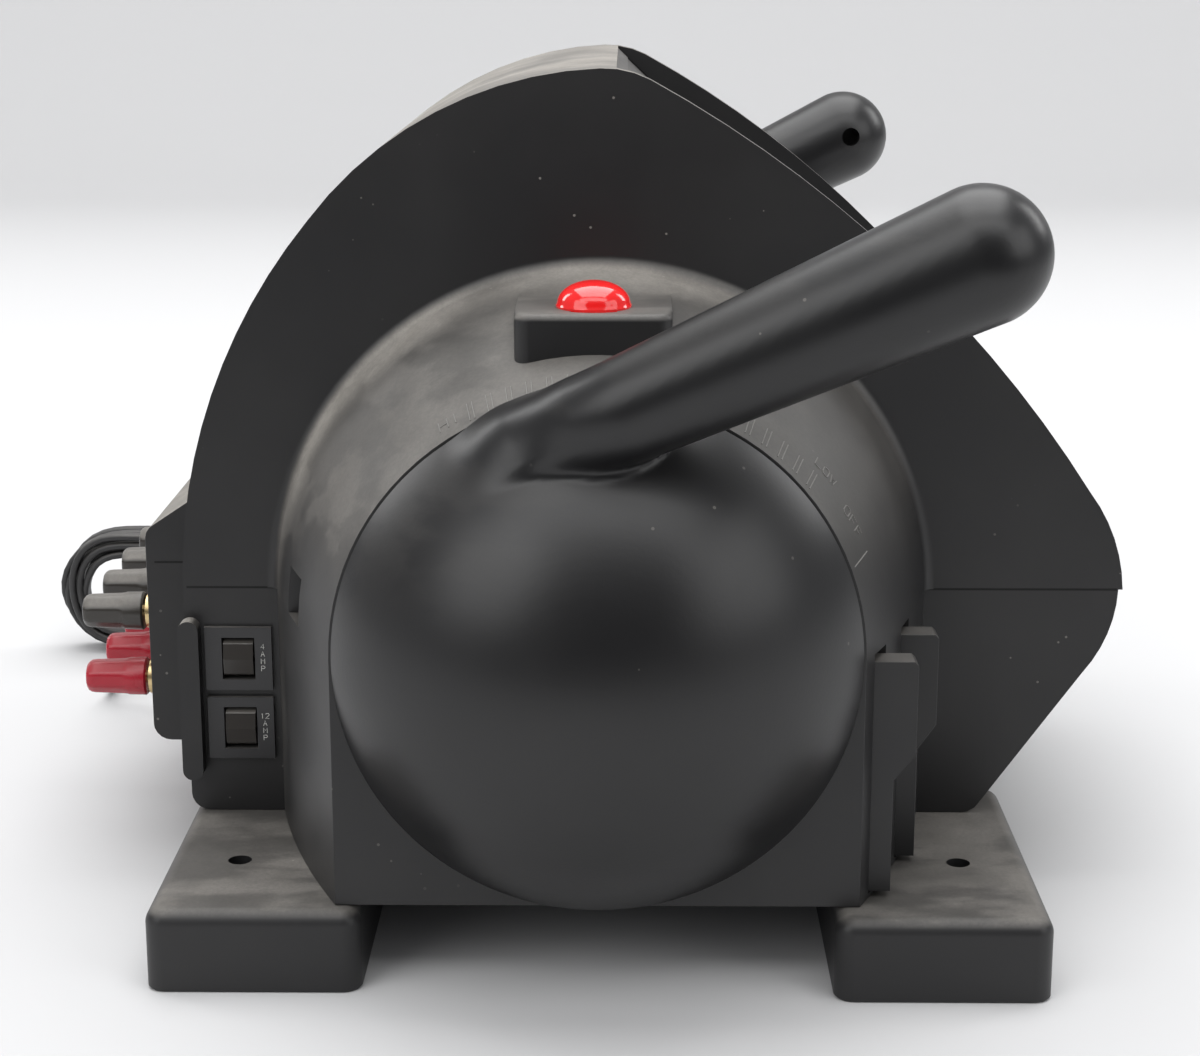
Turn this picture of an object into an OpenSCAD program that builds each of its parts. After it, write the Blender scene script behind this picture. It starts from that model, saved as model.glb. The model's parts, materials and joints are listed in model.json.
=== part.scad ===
// Two-handle train control transformer: a moulded housing with a domed handle on each
// end, a lamp over each handle, finger keys, circuit breakers, binding posts and a cord.
// Millimetres. +Z up, front towards -Y, long axis along X, the two ends are mirror images.
// Origin: on the table, at the centre of the four mounting holes in the feet.

/* [Housing] */
// Width over the two side walls
body_w = 162; // [140:1:190]
// Height of the line where cover and case part
seam_z = 88.6; // [84:0.1:100]
// Height of the cover's peak
peak_z = 231.6; // [215:0.1:280]
// Forward reach of the nose
nose_y = 146; // [140:0.5:175]
// Rearward reach of the back wall
back_y = 117; // [112:0.5:125]
// Thickness of the moulded walls
wall = 3; // [2:0.1:4]
// How far the cover overhangs the case along the nose
overhang = 1.2; // [0:0.1:2]
// Slope of the front panel
fascia_slope = 43.4; // [40:0.1:48]
// Thickness of the front panel
fascia_t = 3; // [2:0.1:4]
// Thickness of the cover's wings beside the front panel
wing_t = 6; // [5:0.5:9]

/* [End housings] */
// Length of each end housing beyond its side wall
end_len = 69; // [58:1:83]
// Half width of the end housing at its flat end
end_r = 67.7; // [60:0.1:72]
// Half width of the end housing where it meets the side wall
root_r = 90.5; // [86:0.1:94]
// How far the flare bulges past a straight cone
flare_bulge = 2.1; // [0:0.1:4]

/* [Handles] */
// Radius of the dome's rim
dome_r = 67; // [58:0.5:67.5]
// Height of the dome
dome_h = 39.4; // [32:0.1:48]
// Thickness of the dome and lever walls
dome_wall = 3; // [2:0.1:4]
// Gap between the dome and the end housing
dome_gap = 0.6; // [0.4:0.1:2]
// Radius of the lever at its root
lever_r0 = 11.8; // [10:0.1:13]
// Radius of the lever at its tip
lever_r1 = 16.5; // [13:0.1:19]
// Length of the lever between the centres of its round ends
lever_len = 118.9; // [95:0.1:145]
// Angle of the lever above the horizontal at OFF
lever_rise = 25.3; // [10:0.1:40]
// Radius of the handle shaft
shaft_r = 3.15; // [2.5:0.05:4]
// Radial running clearance of the shaft
shaft_fit = 0.05; // [0.02:0.01:0.1]

/* [Lamps] */
// Radius of the jewel lens
lens_r = 9.75; // [7:0.05:12]
// Height of the jewel lens
lens_h = 6.4; // [4:0.1:9]
// Width of the raised lamp box
lamp_box_w = 40; // [36:0.5:44]
// Height of the lamp box's top
lamp_top_z = 173.6; // [170:0.1:180]

/* [Feet] */
// Height of the feet
foot_h = 22.3; // [18:0.1:24]
// Width of each foot
foot_w = 56; // [48:0.5:60]
// Length of each foot
foot_len = 97; // [90:0.5:104]
// How much longer the front feet are
front_foot_more = 4.4; // [0:0.1:6]
// Distance between mounting holes along X
hole_dx = 238; // [228:0.5:248]
// Distance between mounting holes along Y
hole_dy = 194.6; // [190:0.1:200]
// Radius of the mounting holes
foot_hole_r = 3.2; // [2:0.1:4]

/* [Breakers and keys] */
// Width of a breaker's bezel
breaker_w = 19; // [16:0.5:20]
// Height of a breaker's bezel
breaker_h = 18.4; // [17:0.1:20]
// Radius of a breaker's rocker
rocker_r = 5.7; // [5:0.1:6.5]
// Width of a finger key
key_w = 8; // [6:0.5:12]
// Distance between the two keys of one end
key_pitch = 24.5; // [22:0.5:27]
// Gap around each key
key_gap = 0.6; // [0.4:0.1:1]
// Radius of the keys' pivot pins
key_pin_r = 1.5; // [1:0.1:2]

/* [Terminals] */
// Half length of the terminal box
term_half = 53.5; // [50:0.5:60]
// Rearward reach of the terminal box
term_y = 132.9; // [128:0.1:140]
// Distance between neighbouring pairs of posts
post_dx = 28; // [22:0.5:30]
// Distance between the two posts of a pair
post_dz = 20.4; // [17:0.1:24]
// Radius of a post's cap at its base
cap_r = 5.7; // [4.5:0.1:7]
// Length of a post's cap
cap_len = 17; // [12:0.1:20]
// Radius of a post's stud
stud_r = 2; // [1.5:0.05:2.4]

/* [Cord] */
// Width of the cord
cord_d = 5; // [4:0.5:6]

/* [Hidden] */
$fn = 96;
eps = 0.01;
big = 400;
fit = 0.3;

// Places worked out from the driving sizes
wall_x = body_w / 2;
end_x = wall_x + end_len;
case_z = foot_h + 0.2;
lens_x = wall_x + 38;
lens_z = lamp_top_z + 0.4;
lamp_y = 1.2;
foot_x0 = end_x + 5 - foot_len;
foot_y0 = (hole_dy - 16) / 2 - 28.3;
breaker_y = back_y - 15.1;
breaker_z = [68.1, 47.6];
post_z = [50.2 + post_dz, 50.2];
post_x = [for (i = [0:3]) (i - 1.5) * post_dx];
latch_x = [28 - end_x, 42 - end_x];
key_x = [for (i = [0, 1]) end_x - wall - 7.8 - i * key_pitch];
key_top = seam_z - 2.2;
key_pad = [9.4, 8.6];
key_low = case_z + 1.6;
key_pin_z = key_low + 5;
key_pin_in = wall + 7.6;
screw_xy = [for (x = [-1, 1], p = [[wall_x - 24, back_y - 14], [wall_x - 13, 50 - nose_y]]) [x * p[0], p[1]]];

// ---- Plane curves ------------------------------------------------------------------
// Points of an arc from p to q that bulges by h to the right-hand side of p to q
function arc(p, q, h, n = 10) =
    let (c = norm(q - p), r = (c * c / 4 + h * h) / (2 * h), u = (q - p) / c,
         o = (p + q) / 2 + [-u[1], u[0]] * (r - h), a = asin(c / (2 * r)))
    [for (i = [0:n]) let (t = -a + 2 * a * i / n)
        o + r * ([u[1], -u[0]] * cos(t) + u * sin(t))];

function tail(v) = [for (i = [1:len(v) - 1]) v[i]];

// A convex outline moved inwards by t
function inset(v, t) = [for (i = [0:len(v) - 1])
    let (a = v[(i + len(v) - 1) % len(v)], b = v[i], c = v[(i + 1) % len(v)],
         m = [a[1] - b[1], b[0] - a[0]] / norm(b - a), n = [b[1] - c[1], c[0] - b[0]] / norm(c - b))
    b + t * (m + n) / (1 + m * n)];

// Side view of the cover in (Y, Z): back, shoulder, peak, brow and nose, anticlockwise
function cover_outline(z0 = seam_z) = let (shoulder = [back_y - 38, peak_z - 40.4],
        peak = [0, peak_z], crest = [-13.4, peak_z - 3], brow = [10.4 - nose_y, seam_z + 27.9])
    concat([[-nose_y, z0], [back_y, z0], [back_y, seam_z + eps]],
        tail(arc([back_y, seam_z + eps], shoulder, 9.55, 12)), tail(arc(shoulder, peak, 9.8, 10)),
        tail(arc(peak, crest, 0.9, 3)), tail(arc(crest, brow, 10.3, 14)),
        tail(arc(brow, [-nose_y, seam_z + eps], 2.3, 6)));

// Side view of the case in (Y, Z): the rounded chin runs back to the flat underside
function case_outline(z1 = seam_z) = let (lip = [overhang - nose_y, seam_z - eps],
        chin = [10.1 - nose_y, seam_z - 24.3], toe = [37.5 - nose_y, case_z + 3.2])
    concat([[back_y, z1], [overhang - nose_y, z1], lip], tail(arc(lip, chin, 2.2, 6)), [toe],
        tail(arc(toe, toe + [5.5, -3.2], 1, 3)),
        arc([back_y - 5, case_z], [back_y, case_z + 5], 1.46, 5));

// Half width of an end housing at distance s from its flat end
function flare_r(s) = let (t = s / end_len)
    end_r + (root_r - end_r) * t + 4 * flare_bulge * t * (1 - t);

// Plan or side view of the flare in (distance from the flat end, half width)
function flare_line(t = 0, n = 12) = [for (i = [0:n]) let (s = end_len * i / n) [s, flare_r(s) - t]];

// ---- Placement helpers -------------------------------------------------------------
// Draws its children for the left end, or mirrored for the right
module side(s) { if (s == "left") children(); else mirror([1, 0, 0]) children(); }

// A snap latch's slot in the rear flank of the end housing, from z0 to z1 over the parting line
module latch(z0, z1) {
    block([latch_x[0], flare_r(28) - wall - 3, seam_z + z0], [latch_x[1], flare_r(42) + 1, seam_z + z1]);
}

// A plate drawn in (Y, Z), thickness from x0 to x1
module across(x0, x1) { translate([x0, 0, 0]) rotate([90, 0, 90]) linear_extrude(x1 - x0) children(); }

// A round thing along X, from x0 towards +X, on the handle axis
module on_axis(x0) { translate([x0, 0, seam_z]) rotate([0, 90, 0]) children(); }

// A box given by its two corners
module block(a, b) { translate(a) cube(b - a); }

// A block with rounded upright edges
module rounded_block(a, b, r) {
    hull() for (x = [a[0] + r, b[0] - r], y = [a[1] + r, b[1] - r])
        translate([x, y, a[2]]) cylinder(h = b[2] - a[2], r = r, $fn = 32);
}

// ---- Housing -----------------------------------------------------------------------
// The left flare as a solid of revolution, its wall set in by t
module flare_round(t) {
    on_axis(-end_x) rotate_extrude() rotate(90) polygon(concat([[t, 0], [t, end_r - t], for (p = [for (q = flare_line(t))
        if (q[0] > t) q]) p], [[end_len + wall + eps, flare_r(end_len) - t], [end_len + wall + eps, 0]]));
}

// The left flare below the parting line, straight-sided
module flare_box(t, z0, z1) {
    line = [for (q = flare_line(t)) if (q[0] > t) q];
    translate([-end_x, 0, z0]) linear_extrude(z1 - z0) polygon(concat([[t, -(end_r - t)]],
        [for (q = line) [q[0], -q[1]]], [[end_len + wall + eps, -(root_r - t)]],
        [[end_len + wall + eps, root_r - t]], [for (i = [len(line) - 1:-1:0]) line[i]], [[t, end_r - t]]));
}

// Space over the front panel, between the two wings of the cover
module fascia_side(drop, half_x) {
    translate([0, -4, peak_z - 0.6]) rotate([fascia_slope, 0, 0])
        block([-half_x, -big, -drop], [half_x, eps, big / 2]);
}

module lamp_box(t) {
    rounded_block([-end_x + 17 + t, lamp_y - lamp_box_w / 2 + t, seam_z + 40],
        [-wall_x - 12 - t, lamp_y + lamp_box_w / 2 - t, lamp_top_z - t], 4);
}

module terminal_box(t, z0, z1) {
    z = [max(z0, 34 + t), min(z1, 98 - t)];
    across(-term_half + t, term_half - t) polygon([[back_y - 8, z[0]], [term_y - t, z[0]],
        [term_y - t, z[1]], [back_y - 8, z1 > 98 ? z[1] + term_y - back_y : z[1]]]);
}

module upper_cover() color([0.07, 0.07, 0.075]) difference() {
    union() {
        difference() {
            union() {
                across(-wall_x, wall_x) polygon(cover_outline());
                for (s = ["left", "right"]) side(s) intersection() {
                    flare_round(0);
                    block([-big, -big, seam_z], [0, big, big]);
                }
                for (s = ["left", "right"]) side(s) lamp_box(0);
                terminal_box(0, seam_z, 99);
            }
            difference() {
                across(-wall_x + wall, wall_x - wall) polygon(inset(cover_outline(seam_z - 2 * wall), wall));
                fascia_side(0, wall_x);
            }
            for (s = ["left", "right"]) side(s) {
                flare_round(wall);
                lamp_box(wall);
                translate([-lens_x, lamp_y, lamp_top_z - 2 * wall]) cylinder(h = 20, r = lens_r - 1);
            }
            terminal_box(wall, seam_z - wall, 99);
            for (s = ["left", "right"]) side(s) latch(0.4, 13.4);
            fascia_side(0, wall_x - wing_t);
        }
        for (p = screw_xy) translate([p[0], p[1], seam_z]) {
            cylinder(h = 14, r = 4.5);
            mirror([p[0] > 0 ? 0 : 1, 0, 0]) block([0, -1.2, 0], [wall_x - abs(p[0]) - 1, 1.2, 14]);
        }
    }
    for (p = screw_xy) translate([p[0], p[1], seam_z - eps]) cylinder(h = 11, r = 1.55);
    on_axis(-big / 2) cylinder(h = big, r = bush_r + fit / 3);
}

bush_r = shaft_r + 3;

module front_fascia() color([0.08, 0.08, 0.085]) intersection() {
    across(-wall_x + wall + fit, wall_x - wall - fit)
        polygon(inset(cover_outline(), wall + fit));
    difference() {
        fascia_side(fascia_t + fit, wall_x);
        fascia_side(fit, wall_x);
    }
}

module name_plate() color([0.2, 0.2, 0.21])
    translate([0, -4, peak_z - 0.6]) rotate([fascia_slope, 0, 0])
        rounded_block([-52, -118, -fit + eps], [52, -66, 1.5], 5);

module lower_case() color([0.07, 0.07, 0.075]) difference() {
    union() {
        difference() {
            union() {
                across(-wall_x, wall_x) polygon(case_outline());
                for (s = ["left", "right"]) side(s) flare_box(0, case_z, seam_z);
                terminal_box(0, 0, seam_z);
                translate([-wall_x - 5, back_y - 4.5, 33]) guard_rib();
            }
            across(-wall_x + wall, wall_x - wall) polygon(inset(case_outline(seam_z + 2 * wall), wall));
            for (s = ["left", "right"]) side(s) flare_box(wall, case_z + wall, seam_z + eps);
            terminal_box(wall, 0, seam_z + eps);
            base_opening(0);
        }
        for (p = screw_xy) translate([p[0], p[1], case_z + wall]) cylinder(h = seam_z - case_z - wall, r = 4.5);
        for (sx = [-1, 1], sy = [-1, 1], p = foot_screw_xy)
            translate([sx * p[0], sy * p[1], case_z]) cylinder(h = 9, r = 3.6);
        for (s = ["left", "right"], i = [0, 1]) side(s) key_bosses(i);
        for (s = ["left", "right"]) side(s) latch_tongue();
    }
    for (p = screw_xy) {
        translate([p[0], p[1], 0]) cylinder(h = big, r = 1.9);
        translate([p[0], p[1], 0]) cylinder(h = case_z + wall + 3, r = 3.6);
    }
    for (sx = [-1, 1], sy = [-1, 1], p = foot_screw_xy)
        translate([sx * p[0], sy * p[1], case_z - 1]) cylinder(h = 9, r = 1.55);
    on_axis(-big / 2) cylinder(h = big, r = bush_r + fit / 3);
    for (z = breaker_z) translate([-wall_x, breaker_y, z])
        block([-eps, -breaker_w / 2 + 1, -breaker_h / 2 + 1], [wall + eps, breaker_w / 2 - 1, breaker_h / 2 - 1]);
    for (s = ["left", "right"], i = [0, 1]) side(s) key_window(i);
    for (x = post_x, z = post_z) translate([x, term_y + eps, z]) rotate([90, 0, 0])
        cylinder(h = wall + 2 * eps, r = stud_r + 1.5);
    translate([lead_x, back_y + eps, lead_z]) rotate([90, 0, 0]) cylinder(h = wall + 2 * eps, r = 5.2);
}

// Springy tongue that stands up from the case behind the cover's latch slot
module latch_tongue() {
    y = flare_r(28) - wall - 3.2;
    block([latch_x[0] + 1, y, seam_z - 30], [latch_x[1] - 1, y + 1.6, seam_z + 11]);
    block([latch_x[0] + 4, y, seam_z + 7], [latch_x[1] - 4, y + 4.6, seam_z + 11]);
    intersection() {
        block([latch_x[0] + 1, y, seam_z - 30], [latch_x[1] - 1, y + 16, seam_z - 22]);
        flare_box(1, case_z, seam_z);
    }
}

module guard_rib() { across(0, 5 + eps) hull() for (z = [2.9, 43.9]) translate([2.9, z]) circle(r = 2.9, $fn = 32); }

// The opening in the case's underside that the base plate fills
module base_opening(t) {
    block([-wall_x + 14 + t, 52 - nose_y + t, case_z - eps + t / 100], [wall_x - 14 - t, back_y - 22 - t, case_z + wall + eps]);
}

module base_plate() color([0.09, 0.09, 0.09]) difference() {
    block([-wall_x + 14 + fit, 52 - nose_y + fit, case_z], [wall_x - 14 - fit, back_y - 22 - fit, case_z + wall - 0.5]);
    for (x = [-3:3], y = [-2:2]) translate([x * 15, y * 16 + 4, case_z - 1])
        linear_extrude(wall + 2) square([3, 11], center = true);
}

module rubber_bumpers() color([0.03, 0.03, 0.03])
    for (x = [-1, 1], y = [-1, 1]) translate([x * (end_x - 14), y * 30, case_z]) mirror([0, 0, 1])
        cylinder(h = 3.4, r1 = 5.5, r2 = 4.5);

// ---- Feet --------------------------------------------------------------------------
module foot(sx, sy) color([0.07, 0.07, 0.075]) mirror([sx < 0 ? 0 : 1, 0, 0]) mirror([0, sy < 0 ? 1 : 0, 0])
    difference() {
        hull() for (x = [-foot_x0 - foot_len - (sy < 0 ? front_foot_more : 0) + 5, -foot_x0 - 5], y = [foot_y0 + 5, foot_y0 + foot_w - 5])
            translate([x, y, 0]) {
                cylinder(h = 2, r = 5, $fn = 32);
                translate([0, 0, foot_h - 4]) scale(1) sphere(r = 4, $fn = 32);
                cylinder(h = foot_h - 4, r = 5, $fn = 32);
            }
        translate([-hole_dx / 2, hole_dy / 2, -eps]) cylinder(h = foot_h + 2 * eps, r = foot_hole_r);
        for (p = foot_screw_xy) translate([p[0], p[1], -eps]) {
            cylinder(h = foot_h + 1, r = 1.9);
            cylinder(h = foot_h - 6, r = 3.8);
        }
    }

foot_screw_xy = [[-foot_x0 - 15, foot_y0 + 14], [-foot_x0 - 67.8, foot_y0 + 9]];

module foot_screws() color([0.55, 0.55, 0.57])
    for (sx = [0, 1], sy = [0, 1]) mirror([sx, 0, 0]) mirror([0, sy, 0])
        for (p = foot_screw_xy) translate([p[0], p[1], foot_h - 8.5]) pan_screw(16.5, 1.5, 3.4);

// A pan head screw, its head under its shank
module pan_screw(len, r, head_r) {
    cylinder(h = 2.4, r = head_r);
    cylinder(h = len, r = r);
}

module case_screws() color([0.55, 0.55, 0.57])
    for (p = screw_xy) translate([p[0], p[1], case_z + wall + 0.5]) pan_screw(seam_z - case_z + 4, 1.5, 3.3);

// ---- Handles -----------------------------------------------------------------------
sphere_r = (dome_r * dome_r + dome_h * dome_h) / (2 * dome_h);
dome_x = -end_x - dome_gap;
dome_c = dome_x - dome_h + sphere_r;
lever_y = 18.4;
lever_z = 55.2;
lever_x = dome_x - lever_r0 - 0.2;
lever_tilt = 7.25;

// Puts its children at the lever's root, the lever running along their -Y
module lever_frame() {
    translate([lever_x, lever_y, seam_z + lever_z]) rotate([-lever_rise, 0, 0])
        rotate([0, 0, -lever_tilt]) children();
}

module lever_bar(t) {
    lever_frame() {
        rotate([90, 0, 0]) cylinder(h = lever_len, r1 = lever_r0 - t, r2 = lever_r1 - t);
        translate([0, -lever_len, 0]) sphere(r = lever_r1 - t);
        sphere(r = lever_r0 - t);
    }
}

module dome(t) {
    difference() {
        translate([dome_c, 0, seam_z]) sphere(r = sphere_r - t);
        block([dome_x, -big, -big], [big, big, big]);
    }
}

// The lever's inner half, from where it leaves the dome to its tip
module lever_inner_space(gap) {
    lever_frame() block([gap, -lever_len - 30, -30], [30, -58 + gap, 30]);
}

module handle_shell() color([0.05, 0.05, 0.055]) difference() {
    union() {
        difference() {
            union() {
                dome(0);
                intersection() {
                    lever_bar(0);
                    block([-big, -big, 0], [dome_x, big, big]);
                }
            }
            difference() {
                dome(dome_wall);
                lever_bar(0);
            }
        }
        on_axis(dome_x - dome_h + dome_wall / 2) cylinder(h = dome_h - dome_wall / 2 - 2.2, r = 9);
    }
    difference() {
        lever_bar(dome_wall - 0.1);
        lever_frame() translate([-lever_r1 + 2, -lever_len, 0]) rotate([0, 90, 0]) cylinder(h = lever_r1 - 2, r = 5);
    }
    lever_inner_space(0);
    on_axis(dome_x - dome_h + 2 * dome_wall) cylinder(h = dome_h, r = shaft_r + 0.03);
    lever_frame() translate([-lever_r1 + 4, -lever_len, 0]) rotate([0, 90, 0]) cylinder(h = 40, r = 1.5);
}

module handle_inner() color([0.05, 0.05, 0.055]) difference() {
    union() {
        difference() {
            intersection() {
                lever_bar(0);
                lever_inner_space(0.05);
            }
            lever_bar(dome_wall - 0.4);
        }
        lever_frame() translate([0.1, -lever_len, 0]) rotate([0, 90, 0]) cylinder(h = lever_r1 - 1.6, r = 5);
    }
    lever_frame() translate([-1, -lever_len, 0]) rotate([0, 90, 0]) cylinder(h = 30, r = 1.7);
    lever_frame() translate([5, -lever_len, 0]) rotate([0, 90, 0]) cylinder(h = 30, r = 3.25);
}

module handle_screw() color([0.5, 0.5, 0.52]) lever_frame() translate([7.4, -lever_len, 0])
    rotate([0, -90, 0]) difference() {
        pan_screw(16, 1.4, 3);
        for (a = [0, 90]) rotate(a) translate([-2, -0.4, -eps]) cube([4, 0.8, 1]);
    }

module shaft() color([0.7, 0.7, 0.72]) difference() {
    on_axis(dome_x - dome_h + 2 * dome_wall + 0.5) cylinder(h = dome_h - 2 * dome_wall + 32, r = shaft_r);
    on_axis(-end_x + 13) difference() {
        cylinder(h = 1.1, r = 10);
        translate([0, 0, -1]) cylinder(h = 3, r = shaft_r - 0.7);
    }
}

module shaft_clip() color([0.6, 0.6, 0.62]) on_axis(-end_x + 13.1) difference() {
    cylinder(h = 0.9, r = 6);
    translate([0, 0, -1]) cylinder(h = 3, r = shaft_r - 0.65);
    translate([0, -1.6, -1]) cube([10, 3.2, 3]);
}

module bushing() color([0.75, 0.6, 0.35]) difference() {
    union() {
        on_axis(-end_x - 1.4) cylinder(h = 14, r = bush_r);
        on_axis(-end_x - 1.4) cylinder(h = 1.4, r = bush_r + 4);
    }
    on_axis(-end_x - 5) cylinder(h = 30, r = shaft_r + shaft_fit);
}

module potentiometer() color([0.35, 0.3, 0.25]) difference() {
    union() {
        on_axis(-end_x + 22) cylinder(h = 16, r = 19);
        on_axis(-end_x + 16) cylinder(h = 7, r = 5);
        translate([-end_x + 38 - eps, -22, case_z + wall]) cube([3, 44, seam_z + 20 - case_z - wall]);
    }
    on_axis(-end_x + 12) cylinder(h = 22, r = shaft_r + shaft_fit);
}

// ---- Lamps -------------------------------------------------------------------------
module lamp_lens() color([0.85, 0.05, 0.05]) {
    cap_r0 = (lens_r * lens_r + lens_h * lens_h) / (2 * lens_h);
    difference() {
        union() {
            intersection() {
                translate([-lens_x, lamp_y, lens_z + lens_h - cap_r0]) sphere(r = cap_r0);
                block([-lens_x - 20, -20, lens_z], [20 - lens_x, 20, big]);
            }
            translate([-lens_x, lamp_y, lens_z - 8]) cylinder(h = 8 + eps, r = lens_r - 1.2);
        }
        translate([-lens_x, lamp_y, lens_z - 8 - eps]) cylinder(h = 8, r = lens_r - 3);
    }
}

module lamp_holder() color([0.8, 0.8, 0.75]) {
    translate([-lens_x, lamp_y, lens_z - 15]) cylinder(h = 7, r = lens_r - 1);
    translate([-lens_x, lamp_y, lens_z - 9]) cylinder(h = 4, r = 2.5);
    translate([-lens_x, lamp_y, lens_z - 5]) sphere(r = 2.5);
}

// ---- Breakers ----------------------------------------------------------------------
module at_breaker(i) { translate([-wall_x, breaker_y, breaker_z[i]]) children(); }

module breaker_body(i) color([0.04, 0.04, 0.045]) at_breaker(i) difference() {
    union() {
        block([-1.6, -breaker_w / 2, -breaker_h / 2], [-0, breaker_w / 2, breaker_h / 2]);
        block([-eps, -breaker_w / 2 + 1.2, -breaker_h / 2 + 1.2], [18, breaker_w / 2 - 1.2, breaker_h / 2 - 1.2]);
    }
    block([-5, -4.6, -rocker_r - 0.4], [14, 4.6, rocker_r + 0.4]);
    for (y = [-5.6, 4.6]) translate([2, y - eps, 0]) rotate([-90, 0, 0]) cylinder(h = 1 + 2 * eps, r = 1.35);
}

module breaker_rocker(i) color([0.03, 0.03, 0.035]) at_breaker(i) {
    intersection() {
        translate([2, -4.2, 0]) rotate([-90, 0, 0]) cylinder(h = 8.4, r = rocker_r);
        translate([0, 5, 0]) rotate([90, 0, 0]) linear_extrude(10)
            polygon([[-2.6, 0], [-1.4, -rocker_r], [9, -rocker_r], [9, rocker_r], [-1.4, rocker_r]]);
    }
    translate([2, -5.5, 0]) rotate([-90, 0, 0]) cylinder(h = 11, r = 1.3);
}

// ---- Finger keys -------------------------------------------------------------------
// Key 0 is the outer one, key 1 the one nearer the side wall
function key_y(i) = -flare_r(end_x - key_x[i]);

module key_window(i) {
    block([-key_x[i] - key_w / 2 - key_gap, key_y(i) - 6, key_low - key_gap],
        [-key_x[i] + key_w / 2 + key_gap, key_y(i) + wall + 8, seam_z + eps]);
}

module key_bosses(i) {
    for (s = [-1, 1]) translate([-key_x[i] + s * (key_w / 2 + 1.9) - 1, key_y(i) + key_pin_in - 3.4, case_z + 1])
        difference() {
            cube([2, 7, key_pin_z + 2 - case_z]);
            translate([-1, 3.4, key_pin_z - case_z - 1]) rotate([0, 90, 0]) cylinder(h = 5, r = key_pin_r + 0.05);
        }
}

module finger_key(i) color([0.06, 0.06, 0.065]) translate([-key_x[i], key_y(i), 0]) difference() {
    union() {
        block([-key_w / 2, -3.8, key_low], [key_w / 2, wall + 3, key_top - 24]);
        rotate([90, 0, 90]) translate([0, 0, -key_w / 2]) linear_extrude(key_w) polygon([
            [wall + 3, key_top], [1 - key_pad[i], key_top], [-key_pad[i], key_top - 1], [-key_pad[i], key_top - 25],
            [-3.8, key_top - 32], [wall + 3, key_top - 32]]);
        block([-key_w / 2, 0, key_pin_z - 2.9], [key_w / 2, key_pin_in + 3, key_pin_z + 3]);
    }
    translate([-key_w, key_pin_in, key_pin_z]) rotate([0, 90, 0]) cylinder(h = 2 * key_w, r = key_pin_r + 0.05);
}

module key_pins() color([0.7, 0.7, 0.72])
    for (s = ["left", "right"], i = [0, 1]) side(s)
        translate([-key_x[i] - key_w / 2 - 2.8, key_y(i) + key_pin_in, key_pin_z]) rotate([0, 90, 0])
            cylinder(h = key_w + 5.6, r = key_pin_r);

module key_switches() color([0.15, 0.15, 0.17])
    for (s = ["left", "right"], i = [0, 1]) side(s)
        translate([-key_x[i], key_y(i) + key_pin_in + 6.8, case_z + wall]) {
            block([-5, 0, 0], [5, 6, key_top - 8 - case_z - wall]);
            block([-2, -6.9, key_top - 19 - case_z - wall], [2, eps, key_top - 15 - case_z - wall]);
        }

// ---- Terminals ---------------------------------------------------------------------
module terminal_studs() color([0.8, 0.7, 0.4])
    for (x = post_x, z = post_z) translate([x, term_y - wall - 6, z]) rotate([-90, 0, 0]) {
        cylinder(h = wall + 6 + cap_len + 0.5, r = stud_r);
        translate([0, 0, 3]) cylinder(h = 3, r = 4.5, $fn = 6);
        translate([0, 0, wall + 6]) cylinder(h = 2.4, r = cap_r - 0.6);
    }

module post_cap(i, row) translate([post_x[i], term_y + 3.2, post_z[row]]) rotate([-90, 0, 0]) difference() {
    union() {
        cylinder(h = cap_len, r1 = cap_r, r2 = cap_r - 0.6);
        translate([0, 0, cap_len]) cylinder(h = 1.2, r1 = cap_r - 0.6, r2 = cap_r - 1.6);
    }
    translate([0, 0, -1]) cylinder(h = cap_len - 0.2, r = stud_r + 0.06);
}

// ---- Inside ------------------------------------------------------------------------
core_z = case_z + wall - 0.5;

module transformer_core() color([0.4, 0.4, 0.42]) difference() {
    block([-48, -30, core_z], [48, 50, core_z + 80]);
    for (y = [-14, 22]) block([-28, y, core_z + 16], [28, y + 12, core_z + 64]);
}

module transformer_winding() color([0.65, 0.35, 0.15]) difference() {
    block([-27.6, -13.6, core_z + 16.4], [27.6, 33.6, core_z + 63.6]);
    block([-28, -2, 0], [28, 22, big]);
}

module circuit_board() color([0.1, 0.35, 0.2]) {
    block([-60, -92, seam_z - 14], [60, -34, seam_z - 12.4]);
    for (x = [-1, 1], y = [-86, -40]) translate([x * 54, y, core_z]) cylinder(h = seam_z - 14 - core_z, r = 3);
}

module heat_sink() color([0.6, 0.6, 0.62]) translate([0, 0, seam_z - 12.4]) {
    block([-40, -86, 0], [40, -40, 4]);
    for (i = [-4:4]) block([i * 9 - 1, -86, 4 - eps], [i * 9 + 1, -40, 26]);
}

// ---- Cord --------------------------------------------------------------------------
lead_x = 68;
lead_z = 48;
relief_len = 22;
hank_x = [144, 162];
hank_y = [128, 211];
hank_top = 47;
lead_route = [[68, 138, 48], [68, 146, 46.5], [69, 155, 42], [71, 163, 34], [75, 170, 24], [81, 175, 14],
    [89, 178, 6], [99, 179, 2.6], [112, 178, 2.6], [124, 174, 2.6], [133, 167, 2.6], [139, 158, 2.6],
    [141.3, 148, 2.6], [141.3, 140, 2.6]];
tail_route = [[164.7, 176, 2.6], [164.7, 164, 2.6], [165, 152, 2.6], [165.8, 140, 3.4], [167, 131, 5],
    [167.5, 125, 6], [167.5, 122, 6]];

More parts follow.
